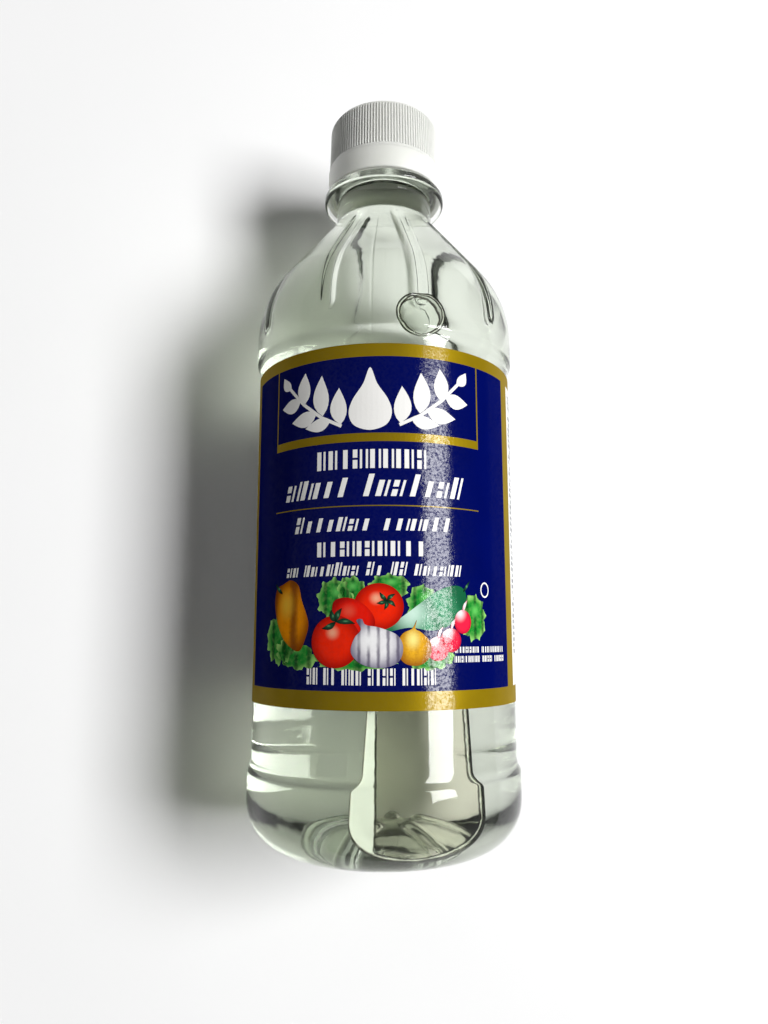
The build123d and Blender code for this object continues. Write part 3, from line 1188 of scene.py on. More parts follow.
@dataclass
class Drink:
    """The vinegar: it fills the bottle just into the wall, round a long air pocket and a bubble."""

    seat: Seat
    form: BodyForm
    columns: int = 360
    overlap: float = 0.1
    film: float = 0.05
    contact: float = 29.85
    contact_height: float = 25.0
    slope: float = 1.5
    pocket_depth: float = 0.9
    pocket_curl: float = 0.25
    bubble_half_width: float = 5.95
    bubble_half_length: float = 5.2
    bubble_height: float = 123.4
    bubble_turn: float = 1.0
    bubble_depth: float = 2.3
    bubble_curl: float = 0.7
    top: float = 189.2

    def wall_radius(self) -> Callable[[float], float]:
        """Gives the inner wall's radius at a height."""
        form = self.form
        rows = form.stations(form.wall, form.neck - form.neck_wall, self.top)
        rows = [row for row in rows if row.on_side]
        heights = np.array([row.height for row in rows])
        radii = np.array([row.radius for row in rows])
        return lambda height: float(np.interp(height, heights, radii))

    def pocket(self) -> AirCell:
        """Gives the long pocket, which ends under the label."""
        wall = self.wall_radius()
        rise = math.tan(math.radians(self.slope))

        def half_width(height: float) -> float:
            """Half the width of the pocket at a height."""
            level = self.contact + (height - self.contact_height) * rise
            return math.sqrt(max(wall(height) ** 2 - level**2, 1e-6))

        def roof(across: float, height: float) -> float:
            """Height of the pocket's roof above the axis."""
            return math.sqrt(max(wall(height) ** 2 - across**2, 1.0)) - self.film

        # The pocket reaches as far as the level stays below the wall. Its rows stand closest at
        # its two ends, and close where the panel's step lies.
        trial = np.linspace(3.5, 116, 2400)
        open_at = [h for h in trial if half_width(h) > 0.05]
        low, high = open_at[0], open_at[-1]
        ease = np.linspace(0, 1, 26) ** 2
        near = low + 9 * ease
        middle = np.arange(low + 9.5, 30, 0.5)
        far = np.arange(30.5, high - 12, 3.0)
        last = high - 11 * np.linspace(1, 0, 12) ** 2
        heights = np.concatenate([near, middle, far, last])
        return AirCell(self.seat, roof, half_width, heights, 0.0, self.pocket_depth, self.pocket_curl)

    def bubble(self) -> AirCell:
        """Gives the small bubble caught under the shoulder ring."""
        wall = self.wall_radius()

        def half_width(height: float) -> float:
            """Half the width of the bubble at a height."""
            share = (height - self.bubble_height) / self.bubble_half_length
            return self.bubble_half_width * math.sqrt(max(1 - share**2, 1e-5))

        def roof(across: float, height: float) -> float:
            """Height of the bubble's roof above the axis, under a flute's lower end."""
            pressed = self.form.flute_depth(across, height)
            return math.sqrt(wall(height) ** 2 - across**2) - self.film - pressed

        heights = self.bubble_height - self.bubble_half_length * np.cos(np.linspace(0, math.pi, 34))
        # The bubble's painted shade lines and painted highlight band run all round its edge.
        return AirCell(
            self.seat, roof, half_width, heights, self.bubble_turn, self.bubble_depth, self.bubble_curl,
            bank=0.3, bank_width=2.5, band=0.85, left_highlight_band=0.85, ringed=True,
        )

    def build(self, tree: Tree, material: bpy.types.Material) -> bpy.types.Object:
        """Makes the drink.

        Args:
            tree: the rule that presses the grooves.
            material: the drink's finish.

        Returns:
            The finished piece.
        """
        form = self.form
        inset = form.wall - self.overlap
        rows = form.stations(inset, form.neck - form.neck_wall + self.overlap, self.top)
        angle = np.arange(self.columns) * 360 / self.columns
        skin = np.concatenate([self.seat.place(np.array(r.radius), angle, np.array(r.height)) for r in rows])
        push = np.concatenate([inward(row, angle) for row in rows])
        poles = self.seat.place(np.zeros(2), np.zeros(2), np.array([form.push_up + inset, self.top]))
        points, faces = [skin, poles], band_faces(len(rows), self.columns)
        count = len(skin) + len(poles)
        edges = [np.tile((-1.0, -1.0, 0.0), (count, 1))]
        for cell in (self.pocket(), self.bubble()):
            placed, edge, lines, width = cell.grid()
            edges.append(edge)
            faces += [tuple(reversed(face)) for face in band_faces(lines, width, count)]
            points.append(placed)
            count += len(placed)
        points = np.concatenate(points)
        piece = mesh_piece("vinegar_drink", points, faces, crease=50)
        press, flutes, ribs = np.zeros((count, 3)), np.full(count, FAR), np.full(count, FAR)
        press[: len(push)] = push
        flutes[: len(push)] = np.repeat([r.flute_reach for r in rows], self.columns)
        ribs[: len(push)] = np.repeat([r.rib_reach for r in rows], self.columns)
        write_reach(piece, press, flutes, ribs)
        # Marks for the drink's painted light: the distance from a pocket's edge, the width of the painted
        # highlight band, and the pocket floor that gets painted warm shade.
        for k, name in enumerate(("edge_gap", "edge_highlight_band", "edge_pocket_shade")):
            layer = piece.data.attributes.new(name, "FLOAT", "POINT")
            layer.data.foreach_set("value", np.concatenate(edges)[:, k].astype(np.float32))
        press_skin(piece, tree, form, self.seat, material, inset)
        dress(piece, "vinegar", "vinegar")
        return piece


# ---- Label -------------------------------------------------------------------------------


class Ink(Enum):
    """The inks of the label."""

    NAVY = "navy_ink"
    GOLD = "gold_ink"
    WHITE = "white_ink"
    PAPER = "coated_paper"
    TEXT = "text_ink"


Inks = dict[Ink, bpy.types.Material]


@dataclass
class InkLayer:
    """Flat shapes that are cut into strips, made solid and wrapped round the sleeve."""

    seat: Seat
    radius: float
    middle: float
    base: float
    thickness: float = 0.03
    strip: float = 1.2
    level_height: float = 0.02

    def __post_init__(self) -> None:
        """Starts with no shapes."""
        self.sheet = bmesh.new()
        self.uv = self.sheet.loops.layers.uv.new("shape")

    def add(self, outline: Outline, level: int = 0, ink: int = 0, turn: float = 0.0) -> None:
        """Adds one shape.

        Args:
            outline: its closed outline, as arc lengths from the label's middle and heights.
            level: how many shapes it lies on.
            ink: index of its material.
            turn: how far its own coordinates are turned, in degrees.
        """
        flat = np.array(outline, float)
        low, high = flat.min(axis=0), flat.max(axis=0)
        centre, half = (low + high) / 2, (high - low) / 2
        depth = level * self.level_height
        sheet = self.sheet
        corners = [sheet.verts.new((u, v, depth)) for u, v in outline]
        face = sheet.faces.new(corners)
        face.material_index = ink
        parts = bmesh.ops.triangulate(sheet, faces=[face])["faces"]
        cut = math.ceil(low[0] / self.strip) * self.strip
        while cut < high[0]:
            whole = list(dict.fromkeys(v for f in parts for v in f.verts))
            whole += list(dict.fromkeys(e for f in parts for e in f.edges)) + parts
            done = bmesh.ops.bisect_plane(sheet, geom=whole, plane_co=(cut, 0, 0), plane_no=(1, 0, 0))
            parts = [g for g in done["geom"] if isinstance(g, bmesh.types.BMFace)]
            cut += self.strip
        c, s = math.cos(math.radians(turn)), math.sin(math.radians(turn))
        size = max(half) if turn else half
        for part in parts:
            part.smooth = False
            part.normal_update()
            if part.normal.z < 0:
                part.normal_flip()
            for loop in part.loops:
                x, y = (np.array(loop.vert.co[:2]) - centre) / size
                loop[self.uv].uv = (x * c + y * s, y * c - x * s)
        made = bmesh.ops.extrude_face_region(sheet, geom=parts, use_keep_orig=True)
        for item in made["geom"]:
            if isinstance(item, bmesh.types.BMVert):
                item.co.z += self.thickness
        for part in parts:
            part.normal_flip()

    def finish(self, name: str, materials: list) -> bpy.types.Object:
        """Wraps the shapes round the sleeve and makes them one piece.

        Args:
            name: the piece's name.
            materials: its materials in order.

        Returns:
            The finished piece.
        """
        for vertex in self.sheet.verts:
            u, v, lift = vertex.co
            angle = self.middle + math.degrees(u / self.radius)
            place = self.seat.place(np.array(self.radius + lift), np.array(angle), np.array(self.base + v))
            vertex.co = Vector(place * MM)
        bmesh.ops.recalc_face_normals(self.sheet, faces=self.sheet.faces)
        mesh = bpy.data.meshes.new(name)
        self.sheet.to_mesh(mesh)
        self.sheet.free()
        for material in materials:
            mesh.materials.append(material)
        piece = link_piece(name, mesh)
        dress(piece, "label_paper")
        return piece


def box_outline(left: float, right: float, bottom: float, top: float, slant: float = 0.0) -> Outline:
    """Gives a rectangle, or a leaning one when slant is the share of its height it leans by."""
    lean = slant * (top - bottom)
    return [(left, bottom), (right, bottom), (right + lean, top), (left + lean, top)]


def moved(outline: Outline, centre: Point, tilt: float) -> Outline:
    """Tilts an outline by some degrees and moves it from the origin to a centre."""
    c, s = math.cos(math.radians(tilt)), math.sin(math.radians(tilt))
    return [(centre[0] + x * c - y * s, centre[1] + x * s + y * c) for x, y in outline]


def oval(centre: Point, half: Point, count: int = 28) -> Outline:
    """Gives an ellipse about a centre."""
    angles = [math.tau * i / count for i in range(count)]
    return [(centre[0] + half[0] * math.cos(a), centre[1] + half[1] * math.sin(a)) for a in angles]


def leaf(root: Point, tip: Point, width: float, bow: float = 0.0) -> Outline:
    """Gives a pointed leaf from its root to its tip.

    Args:
        root: where it starts.
        tip: where it ends.
        width: its greatest width.
        bow: how far its middle line bends to the left.

    Returns:
        The closed outline.
    """
    a, b = np.array(root), np.array(tip)
    along = b - a
    side = np.array([-along[1], along[0]]) / np.linalg.norm(along)
    left, right = [], []
    for i in range(9):
        t = i / 8
        middle = a + along * t + side * bow * 4 * t * (1 - t)
        half = width / 2 * math.sin(math.pi * t**0.8)
        left.append(tuple(middle + side * half))
        right.append(tuple(middle - side * half))
    return left + right[-2:0:-1]


def frill(centre: Point, half: Point, lobes: int, tilt: float = 0.0) -> Outline:
    """Gives an ellipse with a frilled edge.

    Args:
        centre: its centre.
        half: half its width and height.
        lobes: number of lobes round it.
        tilt: how far it is tilted, in degrees.

    Returns:
        The closed outline.
    """
    line = []
    for i, (x, y) in enumerate(oval((0.0, 0.0), half, lobes * 6)):
        a = math.tau * i / (lobes * 6)
        r = 1 + 0.1 * math.sin(lobes * a) + 0.06 * math.sin(2 * lobes * a + 1 + centre[0])
        line.append((x * r, y * r))
    return moved(line, centre, tilt)


@dataclass
class Label:
    """The paper sleeve with its fields of colour, greeked lines and printed vegetables."""

    seat: Seat
    form: BodyForm
    base: float = 34.59
    height: float = 81.3
    thickness: float = 0.13
    middle: float = -18.4
    navy_half: float = 37.9
    edge_highlight_band: float = 4.6
    bottom_band: float = 4.0
    top_band: float = 3.1
    columns: int = 240
    least_strip: float = 0.3
    glue: float = 0.02
    picture_lift: float = 0.005
    fine_print_lift: float = 0.02
    bar_thickness: float = 0.04
    bar_gaps: float = 0.16
    emblem_place: float = -0.6
    stem_half: float = 0.38

    @property
    def radius(self) -> float:
        """Outer radius of the sleeve."""
        return self.form.panel + self.glue + self.thickness

    def layer(self, lift: float = 0.0) -> InkLayer:
        """Starts a layer of shapes that lies a little above the sleeve."""
        return InkLayer(self.seat, self.radius + lift, self.middle, self.base)

    def sleeve(self, inks: Inks) -> bpy.types.Object:
        """Makes the sleeve, with each field of colour on its own faces.

        Args:
            inks: the label's materials.

        Returns:
            The finished piece.
        """
        girth = math.tau * self.radius
        bounds = (self.navy_half, self.navy_half + self.edge_highlight_band)
        sides = {side * bound for bound in bounds for side in (-1, 1)}
        even = {round(girth * k / self.columns - girth / 2, 4) for k in range(self.columns)}
        clear = {arc for arc in even if all(abs(abs(arc) - bound) > self.least_strip for bound in bounds)}
        arcs = sorted(clear | sides)
        levels = [0.0, self.bottom_band, self.height / 2, self.height - self.top_band, self.height]
        angle = np.array([self.middle + math.degrees(arc / self.radius) for arc in arcs])
        inner = self.radius - self.thickness
        rings = [(inner, h) for h in reversed(levels)] + [(self.radius, h) for h in levels]
        rows = [self.seat.place(np.array(r), angle, np.array(self.base + h)) for r, h in rings]
        kinds = []
        for i in range(len(rings)):
            on_front = len(levels) <= i < len(rings) - 1
            low = levels[i - len(levels)] if on_front else 0.0
            in_band = low < self.bottom_band or low >= self.height - self.top_band
            for arc in arcs:
                off = abs(arc + 0.01)  # just inside the strip that starts at this arc
                kind = Ink.PAPER
                if on_front and (in_band or bounds[0] <= off < bounds[1]):
                    kind = Ink.GOLD
                elif on_front and off < bounds[0]:
                    kind = Ink.NAVY
                kinds.append(list(Ink).index(kind))
        faces = ring_faces(len(rings), len(arcs))
        piece = mesh_piece("label_sleeve", np.concatenate(rows), faces, crease=30)
        for ink in Ink:
            piece.data.materials.append(inks[ink])
        piece.data.polygons.foreach_set("material_index", kinds)
        dress(piece, "label_paper", "label")
        return piece

    def frames(self, inks: Inks) -> None:
        """Adds the gold bar, the thin frame lines and the rule under the large line."""
        gold = self.layer()
        bars = [(-26.45, 26.45, 58.4, 60.35), (-26.2, 26.2, 43.78, 44.02)]
        bars += [(-26.45, -26.1, 60.35, 78.2), (26.05, 26.45, 60.35, 78.2)]
        for bar in bars:
            gold.add(box_outline(*bar))
        gold.finish("label_gold_rules", [inks[Ink.GOLD]])

    def emblem(self, inks: Inks) -> None:
        """Adds the plain ornament: a drop between two sprigs of leaves."""
        white = self.layer()
        drop = [(0, 75.6), (1.6, 71.8), (4.0, 68.2), (4.9, 65.0), (3.6, 62.2), (0, 61.0)]
        drop += [(-3.6, 62.2), (-4.9, 65.0), (-4.0, 68.2), (-1.6, 71.8)]
        white.add(smooth_loop([(x + self.emblem_place, y) for x, y in drop]))
        for side in (-1, 1):
            stem = [(6.6, 62.2), (11.5, 64.6), (16.5, 68.4), (21.4, 73.4)]
            curve = [(side * x + self.emblem_place, y) for x, y in stem]
            for (x0, y0), (x1, y1) in zip(curve, curve[1:]):
                run = math.hypot(x1 - x0, y1 - y0)
                nx, ny = -(y1 - y0) / run * self.stem_half, (x1 - x0) / run * self.stem_half
                white.add([(x0 + nx, y0 + ny), (x0 - nx, y0 - ny), (x1 - nx, y1 - ny), (x1 + nx, y1 + ny)])
            leaves = [
                ((6.8, 62.6), (7.2, 71.2), 4.0),
                ((9.2, 63.9), (16.0, 62.6), 3.1),
                ((11.3, 65.0), (11.6, 74.6), 4.1),
                ((13.0, 65.6), (20.2, 64.6), 3.7),
                ((16.2, 68.6), (16.2, 76.0), 3.7),
                ((17.6, 69.4), (23.8, 68.6), 3.5),
                ((20.8, 72.8), (23.4, 76.2), 2.5),
            ]
            for root, tip, width in leaves:
                ends = [(side * x + self.emblem_place, y) for x, y in (root, tip)]
                white.add(leaf(ends[0], ends[1], width, bow=-0.4 * side), level=1)
        white.finish("label_emblem", [inks[Ink.WHITE]])

    def lettering(self, inks: Inks) -> None:
        """Adds the greeked lines: rows of bars that stand for words but spell nothing."""
        white = self.layer()
        rng = np.random.default_rng(11)
        lines = [
            (-13.3, 12.7, 52.3, 56.6, 0.0, (9,)),
            (-22.7, 21.0, 46.0, 51.0, 0.28, (5, 7)),
            (-19.4, 18.0, 38.4, 42.0, 0.25, (7, 6)),
            (-13.0, 12.2, 32.8, 36.05, 0.0, (9,)),
            (-21.8, 20.6, 28.6, 31.5, 0.2, (2, 7, 2, 2, 6)),
            (-15.2, 14.2, 5.3, 8.85, 0.0, (2, 2, 3, 4, 5)),
            (18.6, 35.3, 12.0, 13.3, 0.0, (7, 9)),
            (18.4, 35.5, 9.95, 11.3, 0.0, (8, 4, 5)),
        ]
        for left, right, low, high, slant, words in lines:
            tall = high - low
            cells = sum(words) + 0.7 * (len(words) - 1)
            pitch = (right - left) / cells
            x = left
            for word in words:
                for _ in range(word):
                    self.sign(white, rng, x, pitch, low, tall, slant)
                    x += pitch
                x += 0.7 * pitch
        ring = oval((27.8, 25.9), (1.45, 1.75), 24)
        hole = oval((27.8, 25.9), (1.15, 1.42), 24)
        for i in range(24):
            k = (i + 1) % 24
            white.add([hole[i], ring[i], ring[k], hole[k]])
        white.finish("label_lettering", [inks[Ink.WHITE]])

    def sign(
        self,
        layer: InkLayer,
        rng: np.random.Generator,
        x: float,
        pitch: float,
        low: float,
        tall: float,
        slant: float,
    ) -> None:
        """Adds one cell of a greeked word: one or two upright bars, whole or in two parts.

        Args:
            layer: the layer it goes on.
            rng: the seeded source of variety.
            x: left side of the cell.
            pitch: its width.
            low: foot of the line.
            tall: height of the line.
            slant: share of its height that a bar leans by.
        """
        top = low + tall * (1.0 if slant == 0 else rng.choice([0.72, 0.72, 0.72, 1.0, 0.86]))
        thick, thin = 0.36 * pitch, 0.17 * pitch
        kind = rng.integers(0, 4)
        bars = [(0.06, thick), (0.62, thin)] if kind < 2 else [(0.08, thin), (0.42, thick)]
        if kind == 3:
            bars = [(0.28, thick)]
        for offset, width in bars:
            left = x + offset * pitch
            if kind == 1 and width == thick:
                half = low + 0.52 * (top - low)
                shift = slant * (half - low)
                layer.add(box_outline(left, left + width, low, half - 0.07 * tall, slant))
                layer.add(box_outline(left + shift, left + shift + width, half + 0.05 * tall, top, slant))
            else:
                layer.add(box_outline(left, left + width, low, top, slant))

    def picture(self) -> None:
        """Adds the heap of printed vegetables."""
        # Glossy four-colour print: a bright middle, a dark rim and one highlight. The rows hold
        # the fields of the finish in order; the last ones are streaks and mottle.
        rows = (
            ("lettuce", "#1c8a2e", "#b4ec84", "#5fc25a", (0.1, 0.3), 0.4, 0.6, 0.8, 11, "#07401a", 0.2, 0.9),
            ("orange_pepper", "#ff9d05", "#8f4300", "#ffc53a", (-0.2, 0.3), 0.6, 0.5, 0.8, 5, "#7d3e00"),
            ("tomato", "#fb2a0a", "#a50a04", "#ffb08c", (-0.1, 0.35), 0.36, 0.45),
            ("red_pepper", "#f01c0c", "#a10c08", "#f2513c", (-0.2, 0.3), 0.5, 0.6),
            ("garlic", "#f6f4f6", "#7d7890", "#ffffff", (-0.3, 0.1), 0.6, 0.4, 0.8, 17, "#544c66", 0.1),
            ("onion", "#f0b428", "#9a5716", "#fff08c", (-0.1, 0.15), 0.6, 0.4, 0.25, 9, "#b07a1c", 0.4, 0.5),
            ("cucumber", "#3d9a6c", "#0b5a34", "#cfeedd", (-0.25, 0.05), 0.55, 0.3, 0.5, 9, "#0c5433")
            + (0.5, 0.6),
            ("radish", "#ee2446", "#b80f30", "#ffeef0", (-0.35, 0.75), 0.95, 0.6),
            ("stalk", "#1f4a33", "#0c2418", "#5c9a6c", (0.0, 0.0), 0.4, 0.3),
            ("root", "#f7dfe2", "#e8a0ae", "#ffffff"),
        )
        finishes = [PictureFinish(f"print_{name}", *values) for name, *values in rows]
        lettuce, orange, tomato, red, garlic, onion, cucumber, radish, stalk, root = range(10)
        sheet = self.layer(self.picture_lift)
        heads = [
            ((-23.5, 15.0), (5.6, 5.2), 11, 60.0),
            ((-19.0, 11.6), (6.0, 3.0), 9, -12.0),
            ((-8.5, 23.6), (4.0, 4.3), 9, 0.0),
            ((-4.6, 25.2), (3.1, 3.2), 8, 20.0),
            ((3.6, 26.2), (4.2, 2.6), 9, 0.0),
            ((11.0, 22.5), (3.4, 3.8), 9, 0.0),
            ((24.0, 19.6), (3.7, 4.8), 10, 0.0),
            ((12.4, 11.2), (5.6, 2.7), 11, 0.0),
            ((-4.0, 10.8), (9.0, 2.4), 12, 0.0),
        ]
        for centre, half, lobes, tilt in heads:
            sheet.add(frill(centre, half, lobes, tilt), 0, lettuce)
        pepper = [(-25.8, 23.0), (-25.0, 26.2), (-22.6, 27.2), (-20.2, 28.0), (-17.9, 26.8), (-16.8, 23.4)]
        pepper += [(-14.9, 18.6), (-15.6, 15.2), (-17.2, 12.4), (-19.6, 12.9), (-22.6, 15.2), (-24.8, 19.0)]
        sheet.add(smooth_loop(pepper), 2, orange)
        sheet.add(leaf((-22.8, 25.0), (-25.6, 27.4), 0.9, 0.2), 3, stalk)
        long = [(0.2, 16.6), (3.0, 16.4), (8.0, 17.4), (13.5, 16.8), (18.5, 18.6), (21.6, 22.4), (21.4, 25.6)]
        long += [(18.6, 26.6), (14.2, 25.2), (9.6, 22.0), (5.0, 18.8), (1.6, 17.8)]
        sheet.add(smooth_loop(long), 2, cucumber, 30.0)
        sheet.add(leaf((21.0, 25.2), (23.0, 27.8), 0.6), 3, stalk)
        sheet.add(smooth_loop(oval((1.4, 21.9), (5.4, 5.0), 10)), 3, tomato)
        wedge = [(-8.6, 22.9), (-5.2, 23.8), (-1.6, 22.2), (0.6, 19.0)]
        wedge += [(-0.6, 15.6), (-5.0, 16.4), (-8.4, 18.4)]
        sheet.add(smooth_loop(wedge), 4, red)
        sheet.add(smooth_loop(oval((-8.2, 14.4), (5.7, 5.6), 10)), 5, tomato)
        for x, y in ((-3.6, 18.2), (-11.4, 17.2), (-6.6, 21.6), (-9.0, 21.2)):
            sheet.add(leaf((-8.0, 18.6), (x, y), 1.3, 0.35), 6, stalk)
        for x, y in ((1.6, 25.0), (5.0, 24.6), (5.0, 21.8), (2.6, 21.2), (0.9, 22.6)):
            sheet.add(leaf((3.2, 23.2), (x, y), 0.9, 0.2), 5, stalk)
        bulb = [(-3.4, 18.9), (-2.2, 19.2), (-1.4, 18.0), (1.6, 17.4), (5.4, 15.8), (6.6, 13.0), (5.4, 10.0)]
        bulb += [(1.6, 8.9), (-2.4, 9.8), (-4.6, 12.2), (-3.8, 15.2), (-2.4, 17.0)]
        sheet.add(smooth_loop(bulb), 7, garlic)
        ball = [(9.6, 19.0), (9.3, 17.2), (10.6, 16.4), (12.6, 14.4), (12.7, 11.6), (10.6, 9.6), (7.6, 9.6)]
        ball += [(5.8, 11.2), (5.4, 14.0), (6.6, 16.2), (8.6, 17.2)]
        sheet.add(smooth_loop(ball), 6, onion)
        tall = 2.6
        for x, y, wide in ((14.4, 12.9, 2.6), (17.6, 14.7, 2.6), (20.8, 18.7, 2.3)):
            sheet.add(smooth_loop(oval((x, y), (wide, tall), 10)), 5, radish)
            sheet.add(leaf((x, y + tall * 0.8), (x + 1.3, y + tall + 2.2), 0.7, 0.2), 6, root)
        sheet.finish("label_picture", [finish.material() for finish in finishes])

    def fine_print(self, tree: Tree, inks: Inks) -> None:
        """Fills the back of the label with greeked fine print, in fields of small bars."""
        lift = self.radius + self.fine_print_lift
        fields = [
            (50.5, 44.0, 12.0, 64.0, 8, 46, 0.55, 1.0),
            (74.0, 41.0, 28.0, 60.0, 26, 24, 0.85, 0.9),
            (-62.0, 56.0, 32.0, 34.0, 30, 14, 0.85, 0.9),
            (-62.0, 22.0, 32.0, 24.0, 12, 6, 1.9, 1.3),
        ]
        for i, (arc, place, width, height, columns, lines, bar, tall) in enumerate(fields):
            values = {
                "Field Width": width * MM,
                "Field Height": height * MM,
                "Bar Width": bar * MM,
                "Bar Height": tall * MM,
                "Bar Thickness": self.bar_thickness * MM,
                "Radius": lift * MM,
                "Angle": math.radians(self.middle) + arc / self.radius,
                "Place": (self.seat.foot + self.base + place) * MM,
                "Axis Height": self.seat.axis * MM,
                "Gaps": self.bar_gaps,
                "Columns": columns,
                "Lines": lines,
                "Seed": 5 + i,
                "Material": inks[Ink.TEXT],
            }
            piece = mesh_piece(f"label_fine_print_{i}", np.zeros((1, 3)), [])
            apply_trees(piece, [(tree, values)])
            dress(piece, "label_paper")

    def build(self, print_tree: Tree) -> None:
        """Makes the sleeve and everything printed on it.

        Args:
            print_tree: the rule for fine print.
        """
        # Offset inks on coated paper: flat colour under one varnish. The gold is a metallic ink,
        # which gives a dull sheen, and the white is bare paper white with little varnish.
        finishes = (
            SheetFinish(Ink.NAVY.value, "#01084e", "#010a5a", roughness=0.45),
            SheetFinish(Ink.GOLD.value, "#98800f", "#80690a", metallic=0.22, roughness=0.4, coat=1.0),
            SheetFinish(Ink.WHITE.value, "#fcfbf8", "#f5f4f0", coat=0.3),
            SheetFinish(Ink.PAPER.value, "#efefec", "#e6e7e4"),
            SheetFinish(Ink.TEXT.value, "#2a2752", "#1d1b3c", coat=0.2),
        )
        inks = {Ink(finish.name): finish.material() for finish in finishes}
        self.sleeve(inks)
        self.frames(inks)
        self.emblem(inks)
        self.lettering(inks)
        self.picture()
        self.fine_print(print_tree, inks)


# ---- Closure -----------------------------------------------------------------------------


def turned(name: str, seat: Seat, line: Outline, columns: int) -> bpy.types.Object:
    """Turns a closed section about the bottle's axis.

    Args:
        name: the piece's name.
        seat: where the axis lies.
        line: the section's corners, as distances from the axis and heights. It runs from the
            axis and back to it, or round in a loop.
        columns: points round the axis.

    Returns:
        The object.
    """
    angle = np.arange(columns) * 360 / columns
    on_axis = line[0][0] == 0
    body = line[1:-1] if on_axis else line
    points = [seat.place(np.full(columns, r), angle, np.full(columns, h)) for r, h in body]
    if on_axis:
        ends = np.array([line[0][1], line[-1][1]])
        points.append(seat.place(np.zeros(2), np.zeros(2), ends))
        faces = band_faces(len(body), columns)
    else:
        faces = ring_faces(len(body), columns)
    return mesh_piece(name, np.concatenate(points), faces, crease=35)


@dataclass
class Closure:
    """The white screw cap with its fine grip ribs, and the tamper band below it."""

    seat: Seat
    base: float = 177.76
    top: float = 191.7
    radius: float = 15.25
    draft: float = 0.35
    corner: float = 1.7
    bore: float = 13.8
    ceiling: float = 189.27
    ribs: int = 120
    rib_height: float = 0.24
    rib_width: float = 0.42
    foot: float = 0.9
    band_base: float = 171.47
    band_top: float = 177.67
    band_radius: float = 15.5
    band_edge: float = 0.4
    bridges: int = 8
    bridge: float = 0.8

    def skirt(self, height: float) -> float:
        """Outer radius of the skirt at a height, before its top corner."""
        share = (height - self.base) / (self.top - self.base)
        return self.radius - self.draft * share

    def corner_line(self, inset: float, steps: int) -> Outline:
        """Gives the rounded top corner on a skin that lies inset inside."""
        reach = self.corner - inset
        centre = (self.skirt(self.top) - self.corner, self.top - self.corner)
        line = []
        for i in range(steps + 1):
            a = math.radians(90 * i / steps)
            line.append((centre[0] + reach * math.cos(a), centre[1] + self.corner * math.sin(a)))
        return line

    def cap(self, material: bpy.types.Material) -> None:
        """Makes the cap's body."""
        root = self.rib_height
        foot_top = self.base + self.foot
        line = [(0.0, self.ceiling), (self.bore - 0.3, self.ceiling), (self.bore, self.ceiling - 0.3)]
        line += [(self.bore, self.base + 0.25), (self.bore + 0.25, self.base)]
        line += [(self.radius - 0.06, self.base), (self.radius, self.base + 0.06)]
        skirt = self.skirt(foot_top)
        line += [(skirt - 0.02, foot_top - 0.15), (skirt - root, foot_top + 0.12)]
        line += self.corner_line(root, 8)
        line += [(11.6, self.top), (11.4, self.top - 0.12), (10.9, self.top - 0.12), (10.7, self.top)]
        line += [(1.4, self.top), (1.2, self.top - 0.25), (0.0, self.top - 0.25)]
        piece = turned("screw_cap", self.seat, line, 180)
        piece.data.materials.append(material)
        dress(piece, "white_plastic", "cap")

    def grip(self, tree: Tree, material: bpy.types.Material) -> None:
        """Makes the fine ribs round the skirt from one rib."""
        half = self.rib_width / 2
        section = [(-half, -0.15), (half, -0.15), (half, 0.06), (half * 0.6, 0.19), (0.0, self.rib_height)]
        section += [(-half * 0.6, 0.19), (-half, 0.06)]
        low = self.base + self.foot
        rib_foot = self.skirt(low) - self.rib_height
        rows = [(rib_foot - 0.3, low - 0.1), (rib_foot, low + 0.25)]
        high = self.top - self.corner
        rows.append((self.skirt(high) - self.rib_height, high))
        centre = self.skirt(self.top) - self.corner
        for turn, sink in ((14, 0.04), (28, 0.14), (40, 0.34)):
            a = math.radians(turn)
            reach = self.corner - self.rib_height - sink
            rows.append((centre + reach * math.cos(a), high + self.corner * math.sin(a) - sink))
        points = []
        for radius, height in rows:
            points += [(x, height + self.seat.foot, radius + lift) for x, lift in section]
        count, width = len(rows), len(section)
        faces = [tuple(range(width))[::-1], tuple(range((count - 1) * width, count * width))]
        faces += ring_faces(count, width, closed=False)
        piece = mesh_piece("cap_grip_ribs", np.array(points), faces, crease=50)
        sheet = bmesh.new()
        sheet.from_mesh(piece.data)
        bmesh.ops.recalc_face_normals(sheet, faces=sheet.faces)
        sheet.to_mesh(piece.data)
        sheet.free()
        self.repeat(piece, tree, self.ribs, material)

    def repeat(
        self, piece: bpy.types.Object, tree: Tree, count: int, material: bpy.types.Material
    ) -> None:
        """Repeats a shape about the axis and dresses the result.

        Args:
            piece: one shape, drawn with the axis at Z = 0.
            tree: the rule.
            count: how many are made.
            material: their finish.
        """
        values = {"Count": count, "First Angle": 0.0, "Axis Height": self.seat.axis * MM}
        apply_trees(piece, [(tree, values | {"Material": material})])
        dress(piece, "white_plastic")

    def band(self, tree: Tree, material: bpy.types.Material) -> None:
        """Makes the tamper band and the bridges that hold it to the cap."""
        low, high, edge = self.band_base, self.band_top, self.band_edge
        outer = self.band_radius
        line = [(self.bore, high), (self.bore, low + 0.2), (self.bore + 0.2, low), (outer - edge, low)]
        line += arc_points((outer - edge, low + edge), edge, -90, 90, 4)
        line += [(outer, high - 0.15), (outer - 0.15, high)]
        piece = turned("tamper_band_ring", self.seat, line, 180)
        piece.data.materials.append(material)
        dress(piece, "white_plastic", "tamper_band")
        half, middle = self.bridge / 2, (self.bore + outer) / 2
        ends = (high - 0.1 + self.seat.foot, self.base + 0.1 + self.seat.foot)
        points = np.array([(x, y, z + middle) for y in ends for x in (-half, half) for z in (-half, half)])
        faces = [(2, 3, 1, 0), (5, 7, 6, 4), (1, 5, 4, 0), (6, 7, 3, 2), (4, 6, 2, 0), (3, 7, 5, 1)]
        self.repeat(mesh_piece("tamper_bridges", points, faces), tree, self.bridges, material)

